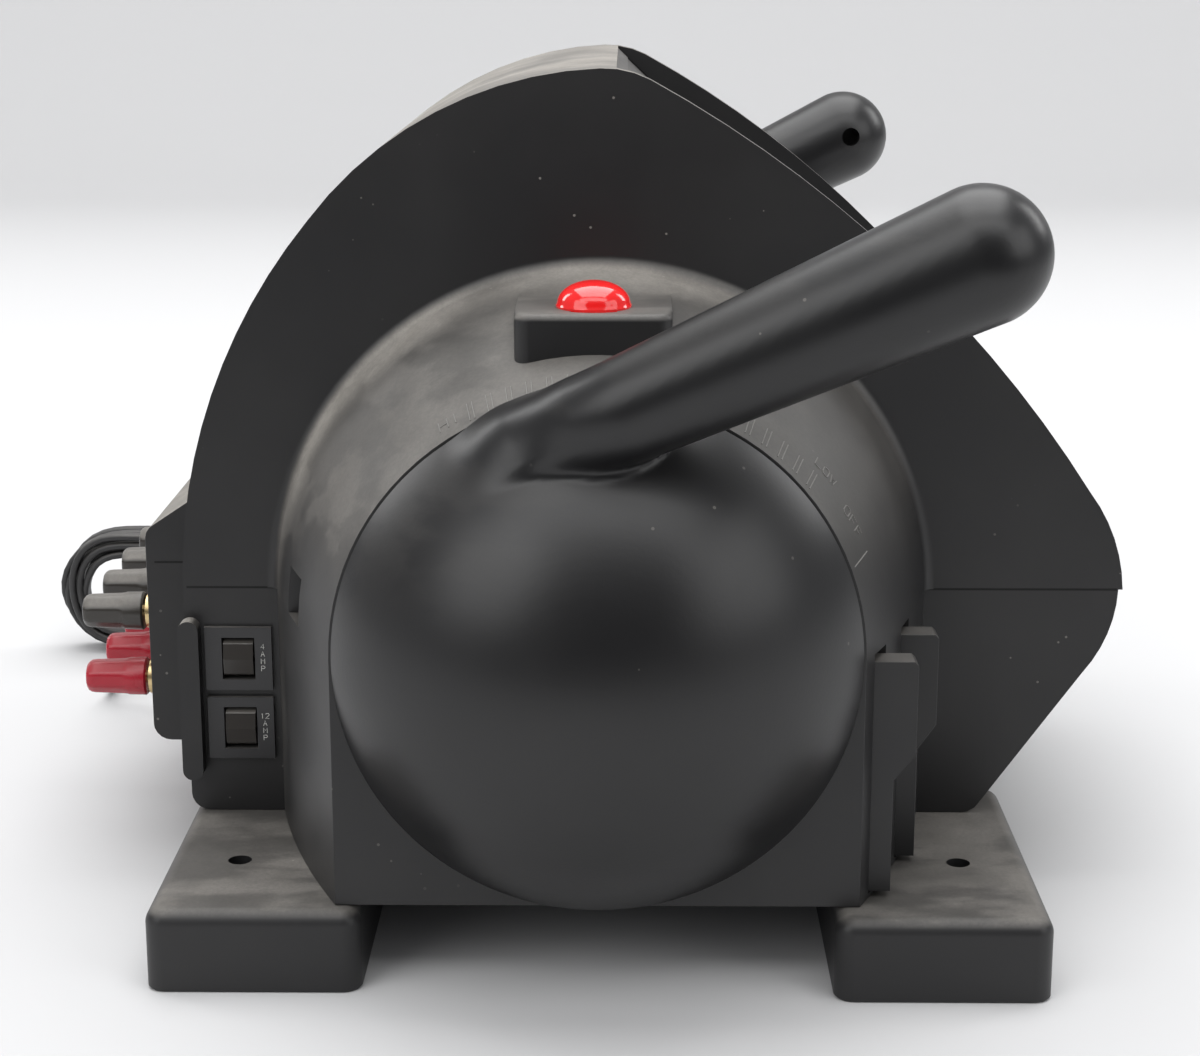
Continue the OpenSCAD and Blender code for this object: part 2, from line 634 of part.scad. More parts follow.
// One closed tube of eight sides swept along a route, square-ended
module tube(route, r) {
    n = 8;
    dirs = [for (i = [0:len(route) - 1]) let (d = route[min(i + 1, len(route) - 1)] - route[max(i - 1, 0)]) d / norm(d)];
    rings = [for (i = [0:len(route) - 1]) let (u0 = cross(dirs[i], [0, 0, 1]), u = u0 / norm(u0), v = cross(u, dirs[i]))
        for (k = [0:n - 1]) route[i] + r * (u * cos(360 * k / n + 22.5) + v * sin(360 * k / n + 22.5))];
    polyhedron(rings, concat([[for (k = [0:n - 1]) k]],
        [for (i = [0:len(route) - 2], k = [0:n - 1]) [i * n + k, (i + 1) * n + k, (i + 1) * n + (k + 1) % n]],
        [for (i = [0:len(route) - 2], k = [0:n - 1]) [i * n + k, (i + 1) * n + (k + 1) % n, i * n + (k + 1) % n]],
        [[for (k = [n - 1:-1:0]) (len(route) - 1) * n + k]]));
}

module strain_relief() color([0.05, 0.05, 0.05]) difference() {
    translate([lead_x, back_y, lead_z]) rotate([-90, 0, 0]) {
        translate([0, 0, -wall - 2]) cylinder(h = wall + 2, r = 5);
        cylinder(h = 2, r = 7);
        translate([0, 0, 2 - eps]) cylinder(h = relief_len - 3, r1 = 4.6, r2 = 3.2);
    }
    for (i = [0:4]) translate([lead_x - 6, back_y + 5 + i * 3.2, lead_z + 2.6]) cube([12, 1, 5]);
}

module cord_lead() color([0.04, 0.04, 0.04]) tube(lead_route, cord_d / 2);
module cord_tail() color([0.04, 0.04, 0.04]) tube(tail_route, cord_d / 2);

module hank_outline(r) {
    hull() for (y = [hank_y[0] + hank_top / 2, hank_y[1] - hank_top / 2]) translate([y, hank_top / 2]) circle(r = r, $fn = 48);
}

module cord_hank() color([0.04, 0.04, 0.04]) across(hank_x[0], hank_x[1]) difference() {
    hank_outline(hank_top / 2);
    hank_outline(hank_top / 2 - 10.5);
}

module cable_tie() color([0.02, 0.02, 0.02]) {
    y = 166;
    difference() {
        block([hank_x[0] - 1.2, y, hank_top - 11.5 - 0.2], [hank_x[1] + 1.2, y + 4, hank_top + 1.4]);
        block([hank_x[0] - eps, y - 1, hank_top - 10.5], [hank_x[1] + eps, y + 5, hank_top + eps]);
    }
    block([150, y - 1, hank_top + 1.4 - eps], [156, y + 5, hank_top + 5]);
    block([152, y, hank_top + 5 - eps], [153.4, y + 4, hank_top + 16]);
}

module plug() color([0.05, 0.05, 0.05]) {
    rounded_block([156.5, 92, 0], [178.5, 118, 13], 4);
    translate([167.5, 121.9, 6]) rotate([90, 0, 0]) cylinder(h = 6, r1 = 3.2, r2 = 4.6);
    for (x = [-1, 1]) translate([167.5 + x * 6.35 - 0.75, 75, 3]) cube([1.5, 18, 6.4]);
}

lower_case();
upper_cover();
front_fascia();
name_plate();
base_plate();
foot(-1, -1);  // foot_front_left
foot(1, -1);  // foot_front_right
foot(-1, 1);  // foot_rear_left
foot(1, 1);  // foot_rear_right
foot_screws();
case_screws();
rubber_bumpers();
for (s = ["left", "right"]) side(s) {
    handle_shell();
    handle_inner();
    handle_screw();
    shaft();
    shaft_clip();
    bushing();
    potentiometer();
    lamp_lens();
    lamp_holder();
    finger_key(0);
    finger_key(1);
}
breaker_body(0);  // small_breaker_body
breaker_rocker(0);  // small_breaker_rocker
breaker_body(1);  // large_breaker_body
breaker_rocker(1);  // large_breaker_rocker
key_pins();
key_switches();
terminal_studs();
for (i = [0:3]) {
    color([0.05, 0.05, 0.05]) post_cap(i, 0);
    color([0.7, 0.03, 0.08]) post_cap(i, 1);
}
transformer_core();
transformer_winding();
circuit_board();
heat_sink();
strain_relief();
cord_lead();
cord_hank();
cord_tail();
cable_tie();
plug();
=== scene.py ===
"""Looks of the two-handle train control transformer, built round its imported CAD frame.

Metres, +Z up, front towards -Y, the breaker end at -X. Lengths are written in millimetres and turned
into metres by mm(). CAD nodes keep their meshes; the big mouldings are rebuilt here with rounded edges.
"""
import json
import math

import bmesh
import bpy
import numpy as np
from mathutils import Matrix, Vector
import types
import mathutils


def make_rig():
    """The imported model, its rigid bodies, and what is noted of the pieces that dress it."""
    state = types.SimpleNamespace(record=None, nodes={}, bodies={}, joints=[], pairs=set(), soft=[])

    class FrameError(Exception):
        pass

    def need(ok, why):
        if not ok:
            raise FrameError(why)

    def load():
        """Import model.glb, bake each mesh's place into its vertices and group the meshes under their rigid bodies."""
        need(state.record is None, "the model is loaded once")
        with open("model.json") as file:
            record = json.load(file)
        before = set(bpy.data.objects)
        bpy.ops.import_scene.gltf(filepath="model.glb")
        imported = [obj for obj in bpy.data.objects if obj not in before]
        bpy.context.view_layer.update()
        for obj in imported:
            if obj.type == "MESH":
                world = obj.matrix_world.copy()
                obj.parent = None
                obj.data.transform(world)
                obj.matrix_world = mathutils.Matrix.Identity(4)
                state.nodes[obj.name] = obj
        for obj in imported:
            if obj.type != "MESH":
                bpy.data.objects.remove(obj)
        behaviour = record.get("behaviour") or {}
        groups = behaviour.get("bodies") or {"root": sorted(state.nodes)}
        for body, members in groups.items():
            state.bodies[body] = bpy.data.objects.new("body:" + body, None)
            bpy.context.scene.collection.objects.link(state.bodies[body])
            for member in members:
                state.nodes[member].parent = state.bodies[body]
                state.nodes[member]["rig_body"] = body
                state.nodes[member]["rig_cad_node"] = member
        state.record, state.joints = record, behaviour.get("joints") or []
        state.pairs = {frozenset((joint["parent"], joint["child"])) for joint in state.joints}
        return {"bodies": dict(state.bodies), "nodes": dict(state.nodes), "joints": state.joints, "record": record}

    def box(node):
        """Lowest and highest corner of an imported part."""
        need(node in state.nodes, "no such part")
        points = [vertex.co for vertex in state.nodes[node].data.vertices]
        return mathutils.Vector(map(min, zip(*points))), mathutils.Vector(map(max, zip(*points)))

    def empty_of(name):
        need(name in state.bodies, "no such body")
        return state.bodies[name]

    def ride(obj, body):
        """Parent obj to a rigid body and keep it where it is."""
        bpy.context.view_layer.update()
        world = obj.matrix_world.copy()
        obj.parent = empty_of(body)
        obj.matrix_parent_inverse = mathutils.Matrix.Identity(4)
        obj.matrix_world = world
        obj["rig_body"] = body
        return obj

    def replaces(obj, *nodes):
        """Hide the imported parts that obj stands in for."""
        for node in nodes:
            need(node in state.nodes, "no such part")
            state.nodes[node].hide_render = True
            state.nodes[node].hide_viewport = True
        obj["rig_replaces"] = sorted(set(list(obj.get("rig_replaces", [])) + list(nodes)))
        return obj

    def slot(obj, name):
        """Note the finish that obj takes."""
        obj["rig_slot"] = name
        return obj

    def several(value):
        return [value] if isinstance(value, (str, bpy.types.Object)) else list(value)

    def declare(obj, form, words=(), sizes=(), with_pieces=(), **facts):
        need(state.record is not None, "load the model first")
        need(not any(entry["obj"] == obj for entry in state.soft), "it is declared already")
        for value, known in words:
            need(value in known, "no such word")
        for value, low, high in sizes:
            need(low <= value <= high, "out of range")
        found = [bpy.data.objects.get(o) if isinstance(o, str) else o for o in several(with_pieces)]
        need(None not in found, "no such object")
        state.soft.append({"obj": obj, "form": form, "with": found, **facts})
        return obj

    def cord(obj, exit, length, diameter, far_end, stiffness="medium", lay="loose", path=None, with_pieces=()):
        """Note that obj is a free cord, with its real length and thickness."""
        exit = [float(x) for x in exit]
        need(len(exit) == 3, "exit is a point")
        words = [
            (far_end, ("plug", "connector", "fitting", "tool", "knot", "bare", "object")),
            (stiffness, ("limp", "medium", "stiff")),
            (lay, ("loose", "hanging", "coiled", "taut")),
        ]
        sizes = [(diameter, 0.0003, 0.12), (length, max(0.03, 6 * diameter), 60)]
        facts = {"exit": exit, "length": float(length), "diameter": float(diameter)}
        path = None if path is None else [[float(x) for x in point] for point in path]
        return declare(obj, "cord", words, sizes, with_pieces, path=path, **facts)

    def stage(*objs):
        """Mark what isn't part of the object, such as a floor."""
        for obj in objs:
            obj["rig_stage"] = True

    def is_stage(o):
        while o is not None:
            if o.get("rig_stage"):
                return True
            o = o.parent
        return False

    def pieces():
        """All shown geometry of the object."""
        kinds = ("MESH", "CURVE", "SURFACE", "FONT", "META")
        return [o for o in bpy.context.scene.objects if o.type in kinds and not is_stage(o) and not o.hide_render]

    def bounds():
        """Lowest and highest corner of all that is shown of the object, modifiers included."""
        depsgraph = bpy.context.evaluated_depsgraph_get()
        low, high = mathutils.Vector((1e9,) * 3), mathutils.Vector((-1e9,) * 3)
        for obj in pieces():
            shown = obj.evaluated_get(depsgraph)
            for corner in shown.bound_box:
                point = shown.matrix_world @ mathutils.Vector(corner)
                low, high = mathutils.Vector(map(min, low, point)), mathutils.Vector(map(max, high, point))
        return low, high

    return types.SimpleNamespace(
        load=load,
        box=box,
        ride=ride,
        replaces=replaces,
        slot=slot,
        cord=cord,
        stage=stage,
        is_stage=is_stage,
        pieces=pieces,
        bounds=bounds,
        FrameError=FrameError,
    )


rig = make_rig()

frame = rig.load()
CAD_LOW, CAD_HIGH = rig.bounds()
NODES = frame["nodes"]
ROOT = "housing"


def mm(*values):
    """Millimetres to metres: one number, or a vector from three."""
    return values[0] * 0.001 if len(values) == 1 else Vector(v * 0.001 for v in values)


# ---- Places taken from the frame ----------------------------------------------------
COVER_LOW, COVER_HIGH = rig.box("upper_cover")
SEAM_Z = COVER_LOW.z
END_X = COVER_HIGH.x
WALL_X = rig.box("front_fascia")[1].x + mm(3.3)
DOME_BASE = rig.box("left_handle_shell")[1].x
LAMP_TOP = mm(173.6)
TERMINAL_X, TERMINAL_Y = mm(53.5), COVER_HIGH.y
FOOT_HOLE_X, FOOT_HOLE_Y, FOOT_HOLE_R = mm(119), mm(97.3), mm(3.2)
FLARE_LONG, END_R, ROOT_R, FLARE_BULGE = END_X - WALL_X, mm(67.7), mm(90.5), mm(2.1)
LINE_END = mm(91.5)  # where the parting line's bars stop short of an end housing's root


# ---- Camera, lights and floor -------------------------------------------------------
def make_camera():
    """Stands off the breaker end, a little above the handle axis, looking along the object."""
    data = bpy.data.cameras.new("camera")
    data.lens = 70.2
    data.sensor_width = 36
    cam = bpy.data.objects.new("camera", data)
    cam.location = (-0.713, -0.0067, 0.262)
    cam.rotation_mode = "QUATERNION"
    cam.rotation_quaternion = Vector((0.9708, 0.0103, -0.2397)).to_track_quat("-Z", "Y")
    bpy.context.scene.collection.objects.link(cam)
    bpy.context.scene.camera = cam


def make_dark_card(name, corner, along, up):
    """A black card that only reflections see, like the unlit room in front of a light table."""
    verts = [Vector(corner), Vector(corner) + Vector(along), Vector(corner) + Vector(along) + Vector(up),
             Vector(corner) + Vector(up)]
    card = mesh_object(name, verts, [(0, 1, 2, 3)])
    mat, _, shader = new_material(name)
    shader.inputs["Base Color"].default_value = (0.01, 0.01, 0.01, 1)
    shader.inputs["Roughness"].default_value = 1.0
    card.data.materials.append(mat)
    card.visible_camera = card.visible_diffuse = card.visible_shadow = False
    card.visible_transmission = False
    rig.stage(card)


def make_light(name, place, aim, size, power):
    """A rectangular lamp at a place, turned to a point."""
    data = bpy.data.lights.new(name, "AREA")
    data.shape = "RECTANGLE"
    data.size, data.size_y = size
    data.energy = power
    lamp = bpy.data.objects.new(name, data)
    lamp.location = place
    lamp.rotation_mode = "QUATERNION"
    lamp.rotation_quaternion = (Vector(aim) - Vector(place)).to_track_quat("-Z", "Y")
    bpy.context.scene.collection.objects.link(lamp)


def make_stage():
    """A pale sweep: floor and a far backdrop with a wide bend between them."""
    reach, bend, top, steps = 2.6, 0.8, 2.4, 10
    line = [(-reach, 0.0), (reach - bend, 0.0)]
    for i in range(1, steps + 1):
        a = math.radians(90 * i / steps)
        line.append((reach - bend + bend * math.sin(a), bend - bend * math.cos(a)))
    line.append((reach, top))
    verts = [(x, side * reach, z) for x, z in line for side in (-1, 1)]
    faces = [(2 * i, 2 * i + 1, 2 * i + 3, 2 * i + 2) for i in range(len(line) - 1)]
    sweep = mesh_object("studio_sweep", verts, faces)
    sweep.data.materials.append(stage_material())
    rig.stage(sweep)


# ---- Mesh helpers -------------------------------------------------------------------
def mesh_object(name, verts, faces, smooth=True):
    data = bpy.data.meshes.new(name)
    data.from_pydata([tuple(v) for v in verts], [], faces)
    data.validate()
    if smooth:
        data.shade_smooth()
    thing = bpy.data.objects.new(name, data)
    bpy.context.scene.collection.objects.link(thing)
    return thing


def sharpen(thing, degrees=35):
    """Smooth shading, broken at edges sharper than the angle."""
    with bpy.context.temp_override(object=thing, active_object=thing, selected_objects=[thing],
                                   selected_editable_objects=[thing]):
        bpy.ops.object.shade_smooth_by_angle(angle=math.radians(degrees))


# ---- Shader groups ------------------------------------------------------------------
class Wiring:
    """Adds nodes to one tree and links them, so a material reads as a short list of steps."""

    def __init__(self, tree):
        self.tree = tree

    def put(self, kind, out=0, props=None, **sockets):
        """A node; sockets are named as on it, or s and their number, and take a value or another output."""
        node = self.tree.nodes.new(kind)
        for key, value in (props or {}).items():
            setattr(node, key, value)
        for key, value in sockets.items():
            socket = node.inputs[int(key[1:])] if key[1:].isdigit() else node.inputs[key.replace("_", " ")]
            if isinstance(value, bpy.types.NodeSocket):
                self.tree.links.new(value, socket)
            else:
                socket.default_value = value
        return node.outputs[out]

    def math(self, operation, a, b=0.0, clamp=False):
        return self.put("ShaderNodeMath", props={"operation": operation, "use_clamp": clamp}, s0=a, s1=b)

    def ramp(self, value, low, high, to_low=0.0, to_high=1.0):
        """A soft step from to_low to to_high as value goes from low to high."""
        return self.put("ShaderNodeMapRange", props={"interpolation_type": "SMOOTHSTEP"},
                        s0=value, s1=low, s2=high, s3=to_low, s4=to_high)

    def mix(self, factor, a, b):
        node = self.tree.nodes.new("ShaderNodeMix")
        node.data_type = "RGBA"
        for socket, value in zip((node.inputs[0], node.inputs[6], node.inputs[7]), (factor, a, b)):
            if isinstance(value, bpy.types.NodeSocket):
                self.tree.links.new(value, socket)
            else:
                socket.default_value = value
        return node.outputs[2]

    def noise(self, place, scale, detail=3.0, rough=0.55, out=0):
        return self.put("ShaderNodeTexNoise", out=out, Vector=place, Scale=scale, Detail=detail,
                        Roughness=rough)


def new_group(name, inputs, outputs):
    """An empty shader group; inputs and outputs are (name, kind, default)."""
    tree = bpy.data.node_groups.new(name, "ShaderNodeTree")
    for way, sockets in (("INPUT", inputs), ("OUTPUT", outputs)):
        for label, kind, default in sockets:
            socket = tree.interface.new_socket(label, in_out=way, socket_type="NodeSocket" + kind)
            if default is not None:
                socket.default_value = default
    entry = tree.nodes.new("NodeGroupInput")
    leave = tree.nodes.new("NodeGroupOutput")
    return tree, Wiring(tree), entry.outputs, leave.inputs


def make_dust_group():
    """Dust that settles on faces turned towards Settle, rubbed away in patches, with a thin haze everywhere."""
    tree, w, given, leave = new_group(
        "settled_dust",
        [("Settle", "Vector", (0, 0, 1)), ("Amount", "Float", 0.6), ("Reach", "Float", 0.3),
         ("Wiped", "Float", 0.5), ("Film", "Float", 0.0), ("Banked", "Float", 0.0), ("Haze", "Float", 0.1),
         ("Specks", "Float", 0.3)],
        [("Mask", "Float", None), ("Colour", "Color", None)])
    place = w.put("ShaderNodeTexCoord", out=3)
    facing = w.put("ShaderNodeTexCoord", out=1)
    turned = w.put("ShaderNodeVectorMath", out=1, props={"operation": "DOT_PRODUCT"}, s0=facing,
                   s1=given["Settle"])
    settled = w.ramp(turned, given["Reach"], w.math("ADD", given["Reach"], 0.55))
    broad = w.noise(place, 22.0, 4.0)
    streaked = w.put("ShaderNodeMapping", Vector=place, Scale=(1.0, 0.45, 1.6), Rotation=(0.6, 0.2, 0.3))
    rubbed = w.noise(streaked, 30.0, 6.0, 0.55)
    fine = w.noise(place, 900.0, 2.0, 0.7)
    across = w.put("ShaderNodeSeparateXYZ", s0=place)
    far = w.ramp(w.math("ABSOLUTE", across), WALL_X + mm(5), WALL_X + mm(21))
    open_to = w.math("SUBTRACT", 1.0, w.math("MULTIPLY", given["Banked"], w.math("SUBTRACT", 1.0, far)))
    touched = w.math("MULTIPLY", w.math("MULTIPLY", given["Wiped"], open_to), w.ramp(rubbed, 0.47, 0.55))
    kept = w.math("SUBTRACT", 1.0, touched)
    patchy = w.math("MULTIPLY", w.ramp(broad, 0.25, 0.7, 0.45, 1.0), w.ramp(fine, 0.2, 0.8, 0.75, 1.0))
    layer = w.math("MULTIPLY", w.math("MULTIPLY", settled, given["Amount"]), w.math("MULTIPLY", kept, patchy))
    haze = w.math("MULTIPLY", given["Haze"], w.ramp(w.noise(place, 14.0, 3.0), 0.3, 0.75, 0.3, 1.0))
    layer = w.math("MULTIPLY", layer, w.math("SUBTRACT", 1.0, w.math("MULTIPLY", given["Banked"], far)))
    upward = w.put("ShaderNodeVectorMath", out=1, props={"operation": "DOT_PRODUCT"}, s0=facing, s1=(0, 0, 1))
    film = w.math("MULTIPLY", w.math("MULTIPLY", given["Film"], w.ramp(upward, 0.08, 0.5)), patchy)
    haze = w.math("ADD", haze, film)
    cells = w.put("ShaderNodeTexVoronoi", Vector=place, Scale=260.0)
    chance = w.put("ShaderNodeTexVoronoi", out=1, Vector=place, Scale=260.0)
    few = w.math("LESS_THAN", w.put("ShaderNodeSeparateColor", s0=chance), 0.09)
    crowd = w.ramp(w.noise(place, 9.0, 1.0), 0.45, 0.62)
    size = w.math("MULTIPLY", w.math("LESS_THAN", cells, 0.11), w.math("MULTIPLY", few, crowd))
    specks = w.math("MULTIPLY", size, given["Specks"])
    total = w.math("ADD", w.math("ADD", layer, haze), specks, clamp=True)
    shade = w.mix(w.noise(place, 60.0, 3.0), (0.19, 0.175, 0.155, 1), (0.36, 0.34, 0.31, 1))
    w.tree.links.new(total, leave["Mask"])
    w.tree.links.new(shade, leave["Colour"])
    return tree


def make_grain_group():
    """Fine moulded grain with faint sink and flow, as a height, and a little unevenness of gloss."""
    tree, w, given, leave = new_group(
        "moulded_grain", [("Size", "Float", 900.0), ("Depth", "Float", 1.0), ("Gloss", "Float", 0.4),
                          ("Spread", "Float", 0.08)],
        [("Height", "Float", None), ("Roughness", "Float", None)])
    place = w.put("ShaderNodeTexCoord", out=3)
    grain = w.noise(place, given["Size"], 2.0, 0.6)
    sink = w.noise(place, 30.0, 1.0)
    height = w.math("ADD", w.math("MULTIPLY", grain, given["Depth"]), w.math("MULTIPLY", sink, 0.6))
    uneven = w.math("MULTIPLY", w.math("SUBTRACT", w.noise(place, 45.0, 4.0), 0.5), given["Spread"])
    w.tree.links.new(height, leave["Height"])
    w.tree.links.new(w.math("ADD", given["Gloss"], uneven), leave["Roughness"])
    return tree


DUST = make_dust_group()
GRAIN = make_grain_group()


# ---- Materials ----------------------------------------------------------------------
def new_material(name):
    mat = bpy.data.materials.new(name)
    mat.use_nodes = True
    return mat, Wiring(mat.node_tree), mat.node_tree.nodes["Principled BSDF"]


def group_node(w, tree, **values):
    node = w.tree.nodes.new("ShaderNodeGroup")
    node.node_tree = tree
    for key, value in values.items():
        node.inputs[key].default_value = value
    return node.outputs


def plastic(name, colour, gloss, dust=None, grain=(900.0, 0.5), spread=0.08, bump=0.00006, tint=0.12):
    """Moulded plastic: grain in the surface, an uneven gloss, and dust where it settles."""
    mat, w, shader = new_material(name)
    surface = group_node(w, GRAIN, Size=grain[0], Depth=grain[1], Gloss=gloss, Spread=spread)
    place = w.put("ShaderNodeTexCoord", out=3)
    deep = tuple(c * (1 - tint) for c in colour[:3]) + (1,)
    pale = tuple(c * (1 + tint) + 0.001 for c in colour[:3]) + (1,)
    base = w.mix(w.noise(place, 18.0, 4.0), deep, pale)
    rough = surface["Roughness"]
    if dust:
        film = group_node(w, DUST, **dust)
        base = w.mix(film["Mask"], base, film["Colour"])
        rough = w.math("ADD", rough, w.math("MULTIPLY", film["Mask"], 0.45), clamp=True)
    w.tree.links.new(base, shader.inputs["Base Color"])
    w.tree.links.new(rough, shader.inputs["Roughness"])
    normal = w.put("ShaderNodeBump", Strength=0.6, Distance=bump, Height=surface["Height"])
    w.tree.links.new(normal, shader.inputs["Normal"])
    shader.inputs["Specular IOR Level"].default_value = 0.5
    return mat


def metal(name, colour, gloss, brushed=False):
    """Bare metal, with brushed or cast variation of its gloss."""
    mat, w, shader = new_material(name)
    place = w.put("ShaderNodeTexCoord", out=3)
    if brushed:
        place = w.put("ShaderNodeMapping", Vector=place, Scale=(1.0, 1.0, 40.0))
    marks = w.noise(place, 320.0, 4.0)
    w.tree.links.new(w.mix(marks, tuple(c * 0.75 for c in colour[:3]) + (1,), tuple(colour[:3]) + (1,)),
                     shader.inputs["Base Color"])
    w.tree.links.new(w.ramp(marks, 0.2, 0.8, gloss - 0.08, gloss + 0.12), shader.inputs["Roughness"])
    shader.inputs["Metallic"].default_value = 1.0
    return mat


def stage_material():
    mat, _, shader = new_material("studio_paper")
    shader.inputs["Base Color"].default_value = (0.57, 0.57, 0.575, 1)
    shader.inputs["Roughness"].default_value = 0.9
    return mat


def lens_material():
    """Red jewel: clear moulded plastic over a faceted, deeper red inside, with a faint painted glow though its lamp is
    unlit.
    """
    mat, w, shader = new_material("jewel_red")
    place = w.put("ShaderNodeTexCoord", out=3)
    depth = w.noise(place, 120.0, 2.0)
    w.tree.links.new(w.mix(depth, (0.55, 0.004, 0.006, 1), (0.9, 0.03, 0.03, 1)), shader.inputs["Base Color"])
    shader.inputs["Roughness"].default_value = 0.12
    shader.inputs["Transmission Weight"].default_value = 0.35
    shader.inputs["IOR"].default_value = 1.49
    # emission: painted red glow; the lamp behind the jewel is unlit
    shader.inputs["Emission Color"].default_value = (0.9, 0.02, 0.02, 1)
    shader.inputs["Emission Strength"].default_value = 0.25
    shader.inputs["Coat Weight"].default_value = 0.5
    return mat


BLACK = (0.0085, 0.0085, 0.0095, 1)
UP_AND_BACK = (0.0, 0.5, 0.87)
UP = (0.0, 0.0, 1.0)
MATERIALS = {
    "housing_plastic": plastic("housing_black", BLACK, 0.42,
                               dict(Settle=UP_AND_BACK, Amount=0.95, Reach=0.32, Wiped=0.72,
                                    Banked=0.78, Film=0.26, Haze=0.03, Specks=0.5)),
    "panel_plastic": plastic("panel_black", BLACK, 0.5,
                             dict(Settle=UP, Amount=0.35, Reach=0.2, Wiped=0.6, Haze=0.04, Specks=0.3)),
    "plate_metal": plastic("badge_grey", (0.075, 0.075, 0.08, 1), 0.3,
                           dict(Settle=UP, Amount=0.2, Reach=0.3, Wiped=0.6, Haze=0.03, Specks=0.2)),
    "foot_plastic": plastic("foot_black", BLACK, 0.45,
                            dict(Settle=UP, Amount=0.72, Reach=0.45, Wiped=0.45, Haze=0.02, Specks=0.5)),
    "handle_plastic": plastic("handle_black", (0.006, 0.006, 0.0068, 1), 0.35,
                              dict(Settle=UP_AND_BACK, Amount=0.05, Reach=0.3, Wiped=0.8, Haze=0.015,
                                   Specks=0.35)),
    "key_plastic": plastic("key_black", BLACK, 0.4,
                           dict(Settle=UP, Amount=0.4, Reach=0.5, Wiped=0.4, Haze=0.03, Specks=0.1)),
    "breaker_plastic": plastic("breaker_black", (0.016, 0.016, 0.018, 1), 0.3,
                               dict(Settle=UP, Amount=0.4, Reach=0.5, Wiped=0.3, Haze=0.03, Specks=0.1)),
    "rocker_plastic": plastic("rocker_black", (0.03, 0.027, 0.025, 1), 0.18,
                              dict(Settle=UP, Amount=0.4, Reach=0.4, Wiped=0.4, Haze=0.05, Specks=0.2)),
    "cap_black": plastic("cap_black", (0.022, 0.019, 0.016, 1), 0.25,
                         dict(Settle=UP, Amount=0.6, Reach=0.2, Wiped=0.3, Haze=0.05, Specks=0.1)),
    "cap_red": plastic("cap_red", (0.36, 0.004, 0.018, 1), 0.26,
                       dict(Settle=UP, Amount=0.25, Reach=0.3, Wiped=0.5, Haze=0.02, Specks=0.1)),
    "cord_rubber": plastic("cord_black", (0.02, 0.02, 0.021, 1), 0.45,
                           dict(Settle=UP, Amount=0.25, Reach=0.2, Wiped=0.5, Haze=0.03, Specks=0.1)),
    "bumper_rubber": plastic("bumper_black", (0.02, 0.02, 0.02, 1), 0.7),
    "pot_case": plastic("pot_brown", (0.12, 0.08, 0.05, 1), 0.5),
    # near-black: painted shadow inside the seam gap between cover and case
    "shadow_gap": plastic("shadow_gap", (0.002, 0.002, 0.002, 1), 0.8),
    # pale grey: painted highlight that the raised scale marks catch
    "worn_edge": plastic("worn_edge", (0.17, 0.165, 0.155, 1), 0.55),
    "lamp_white": plastic("lamp_white", (0.7, 0.7, 0.66, 1), 0.4),
    "board_green": plastic("board_green", (0.03, 0.16, 0.07, 1), 0.35),
    "winding_copper": metal("winding_copper", (0.75, 0.36, 0.16), 0.35, brushed=True),
    "core_steel": metal("core_steel", (0.35, 0.35, 0.37), 0.5, brushed=True),
    "sink_aluminium": metal("sink_aluminium", (0.7, 0.7, 0.72), 0.35),
    "screw_steel": metal("screw_steel", (0.6, 0.6, 0.62), 0.3),
    "bush_brass": metal("bush_brass", (0.78, 0.6, 0.32), 0.3),
    "lens_red": lens_material(),
}
SLOT_OF = {row["node"]: row["material_slot"] for row in frame["record"]["subparts"]}


def even(thing, degrees=35):
    """Shades broad flats dead flat, so that only the rounds beside them turn the light."""
    data = thing.data
    normals = [p.normal.copy() for p in data.polygons]
    planes = [(round(n.x, 2), round(n.y, 2), round(n.z, 2), round(n.dot(p.center) * 2000))
              for n, p in zip(normals, data.polygons)]
    area = {}
    for key, p in zip(planes, data.polygons):
        area[key] = area.get(key, 0) + p.area
    around = [[] for _ in data.vertices]
    for p in data.polygons:
        for v in p.vertices:
            around[v].append(p.index)
    limit = math.cos(math.radians(degrees))
    corners = []
    for p in data.polygons:
        for v in p.vertices:
            total = Vector((0, 0, 0))
            for q in around[v]:
                if normals[q].dot(normals[p.index]) > limit:
                    total += normals[q] * area[planes[q]] ** 2
            corners.append(total.normalized() if total.length > 0 else normals[p.index])
    data.normals_split_custom_set(corners)


def dress(thing, slot):
    """Gives a piece the material of a slot."""
    thing.data.materials.clear()
    thing.data.materials.append(MATERIALS[slot])
    if "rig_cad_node" not in thing and slot in SLOT_OF.values():
        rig.slot(thing, slot)
    return thing


# ---- Mouldings rebuilt with rounded edges -------------------------------------------
def put_mesh(bm, name, body, slot, smooth=35, replaces=()):
    """Turns a bmesh into a piece that rides on a body, in the finish of a slot."""
    data = bpy.data.meshes.new(name)
    bm.to_mesh(data)
    bm.free()
    thing = bpy.data.objects.new(name, data)
    bpy.context.scene.collection.objects.link(thing)
    sharpen(thing, smooth)
    if replaces:
        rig.replaces(thing, *replaces)
    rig.ride(thing, body)
    return dress(thing, slot)


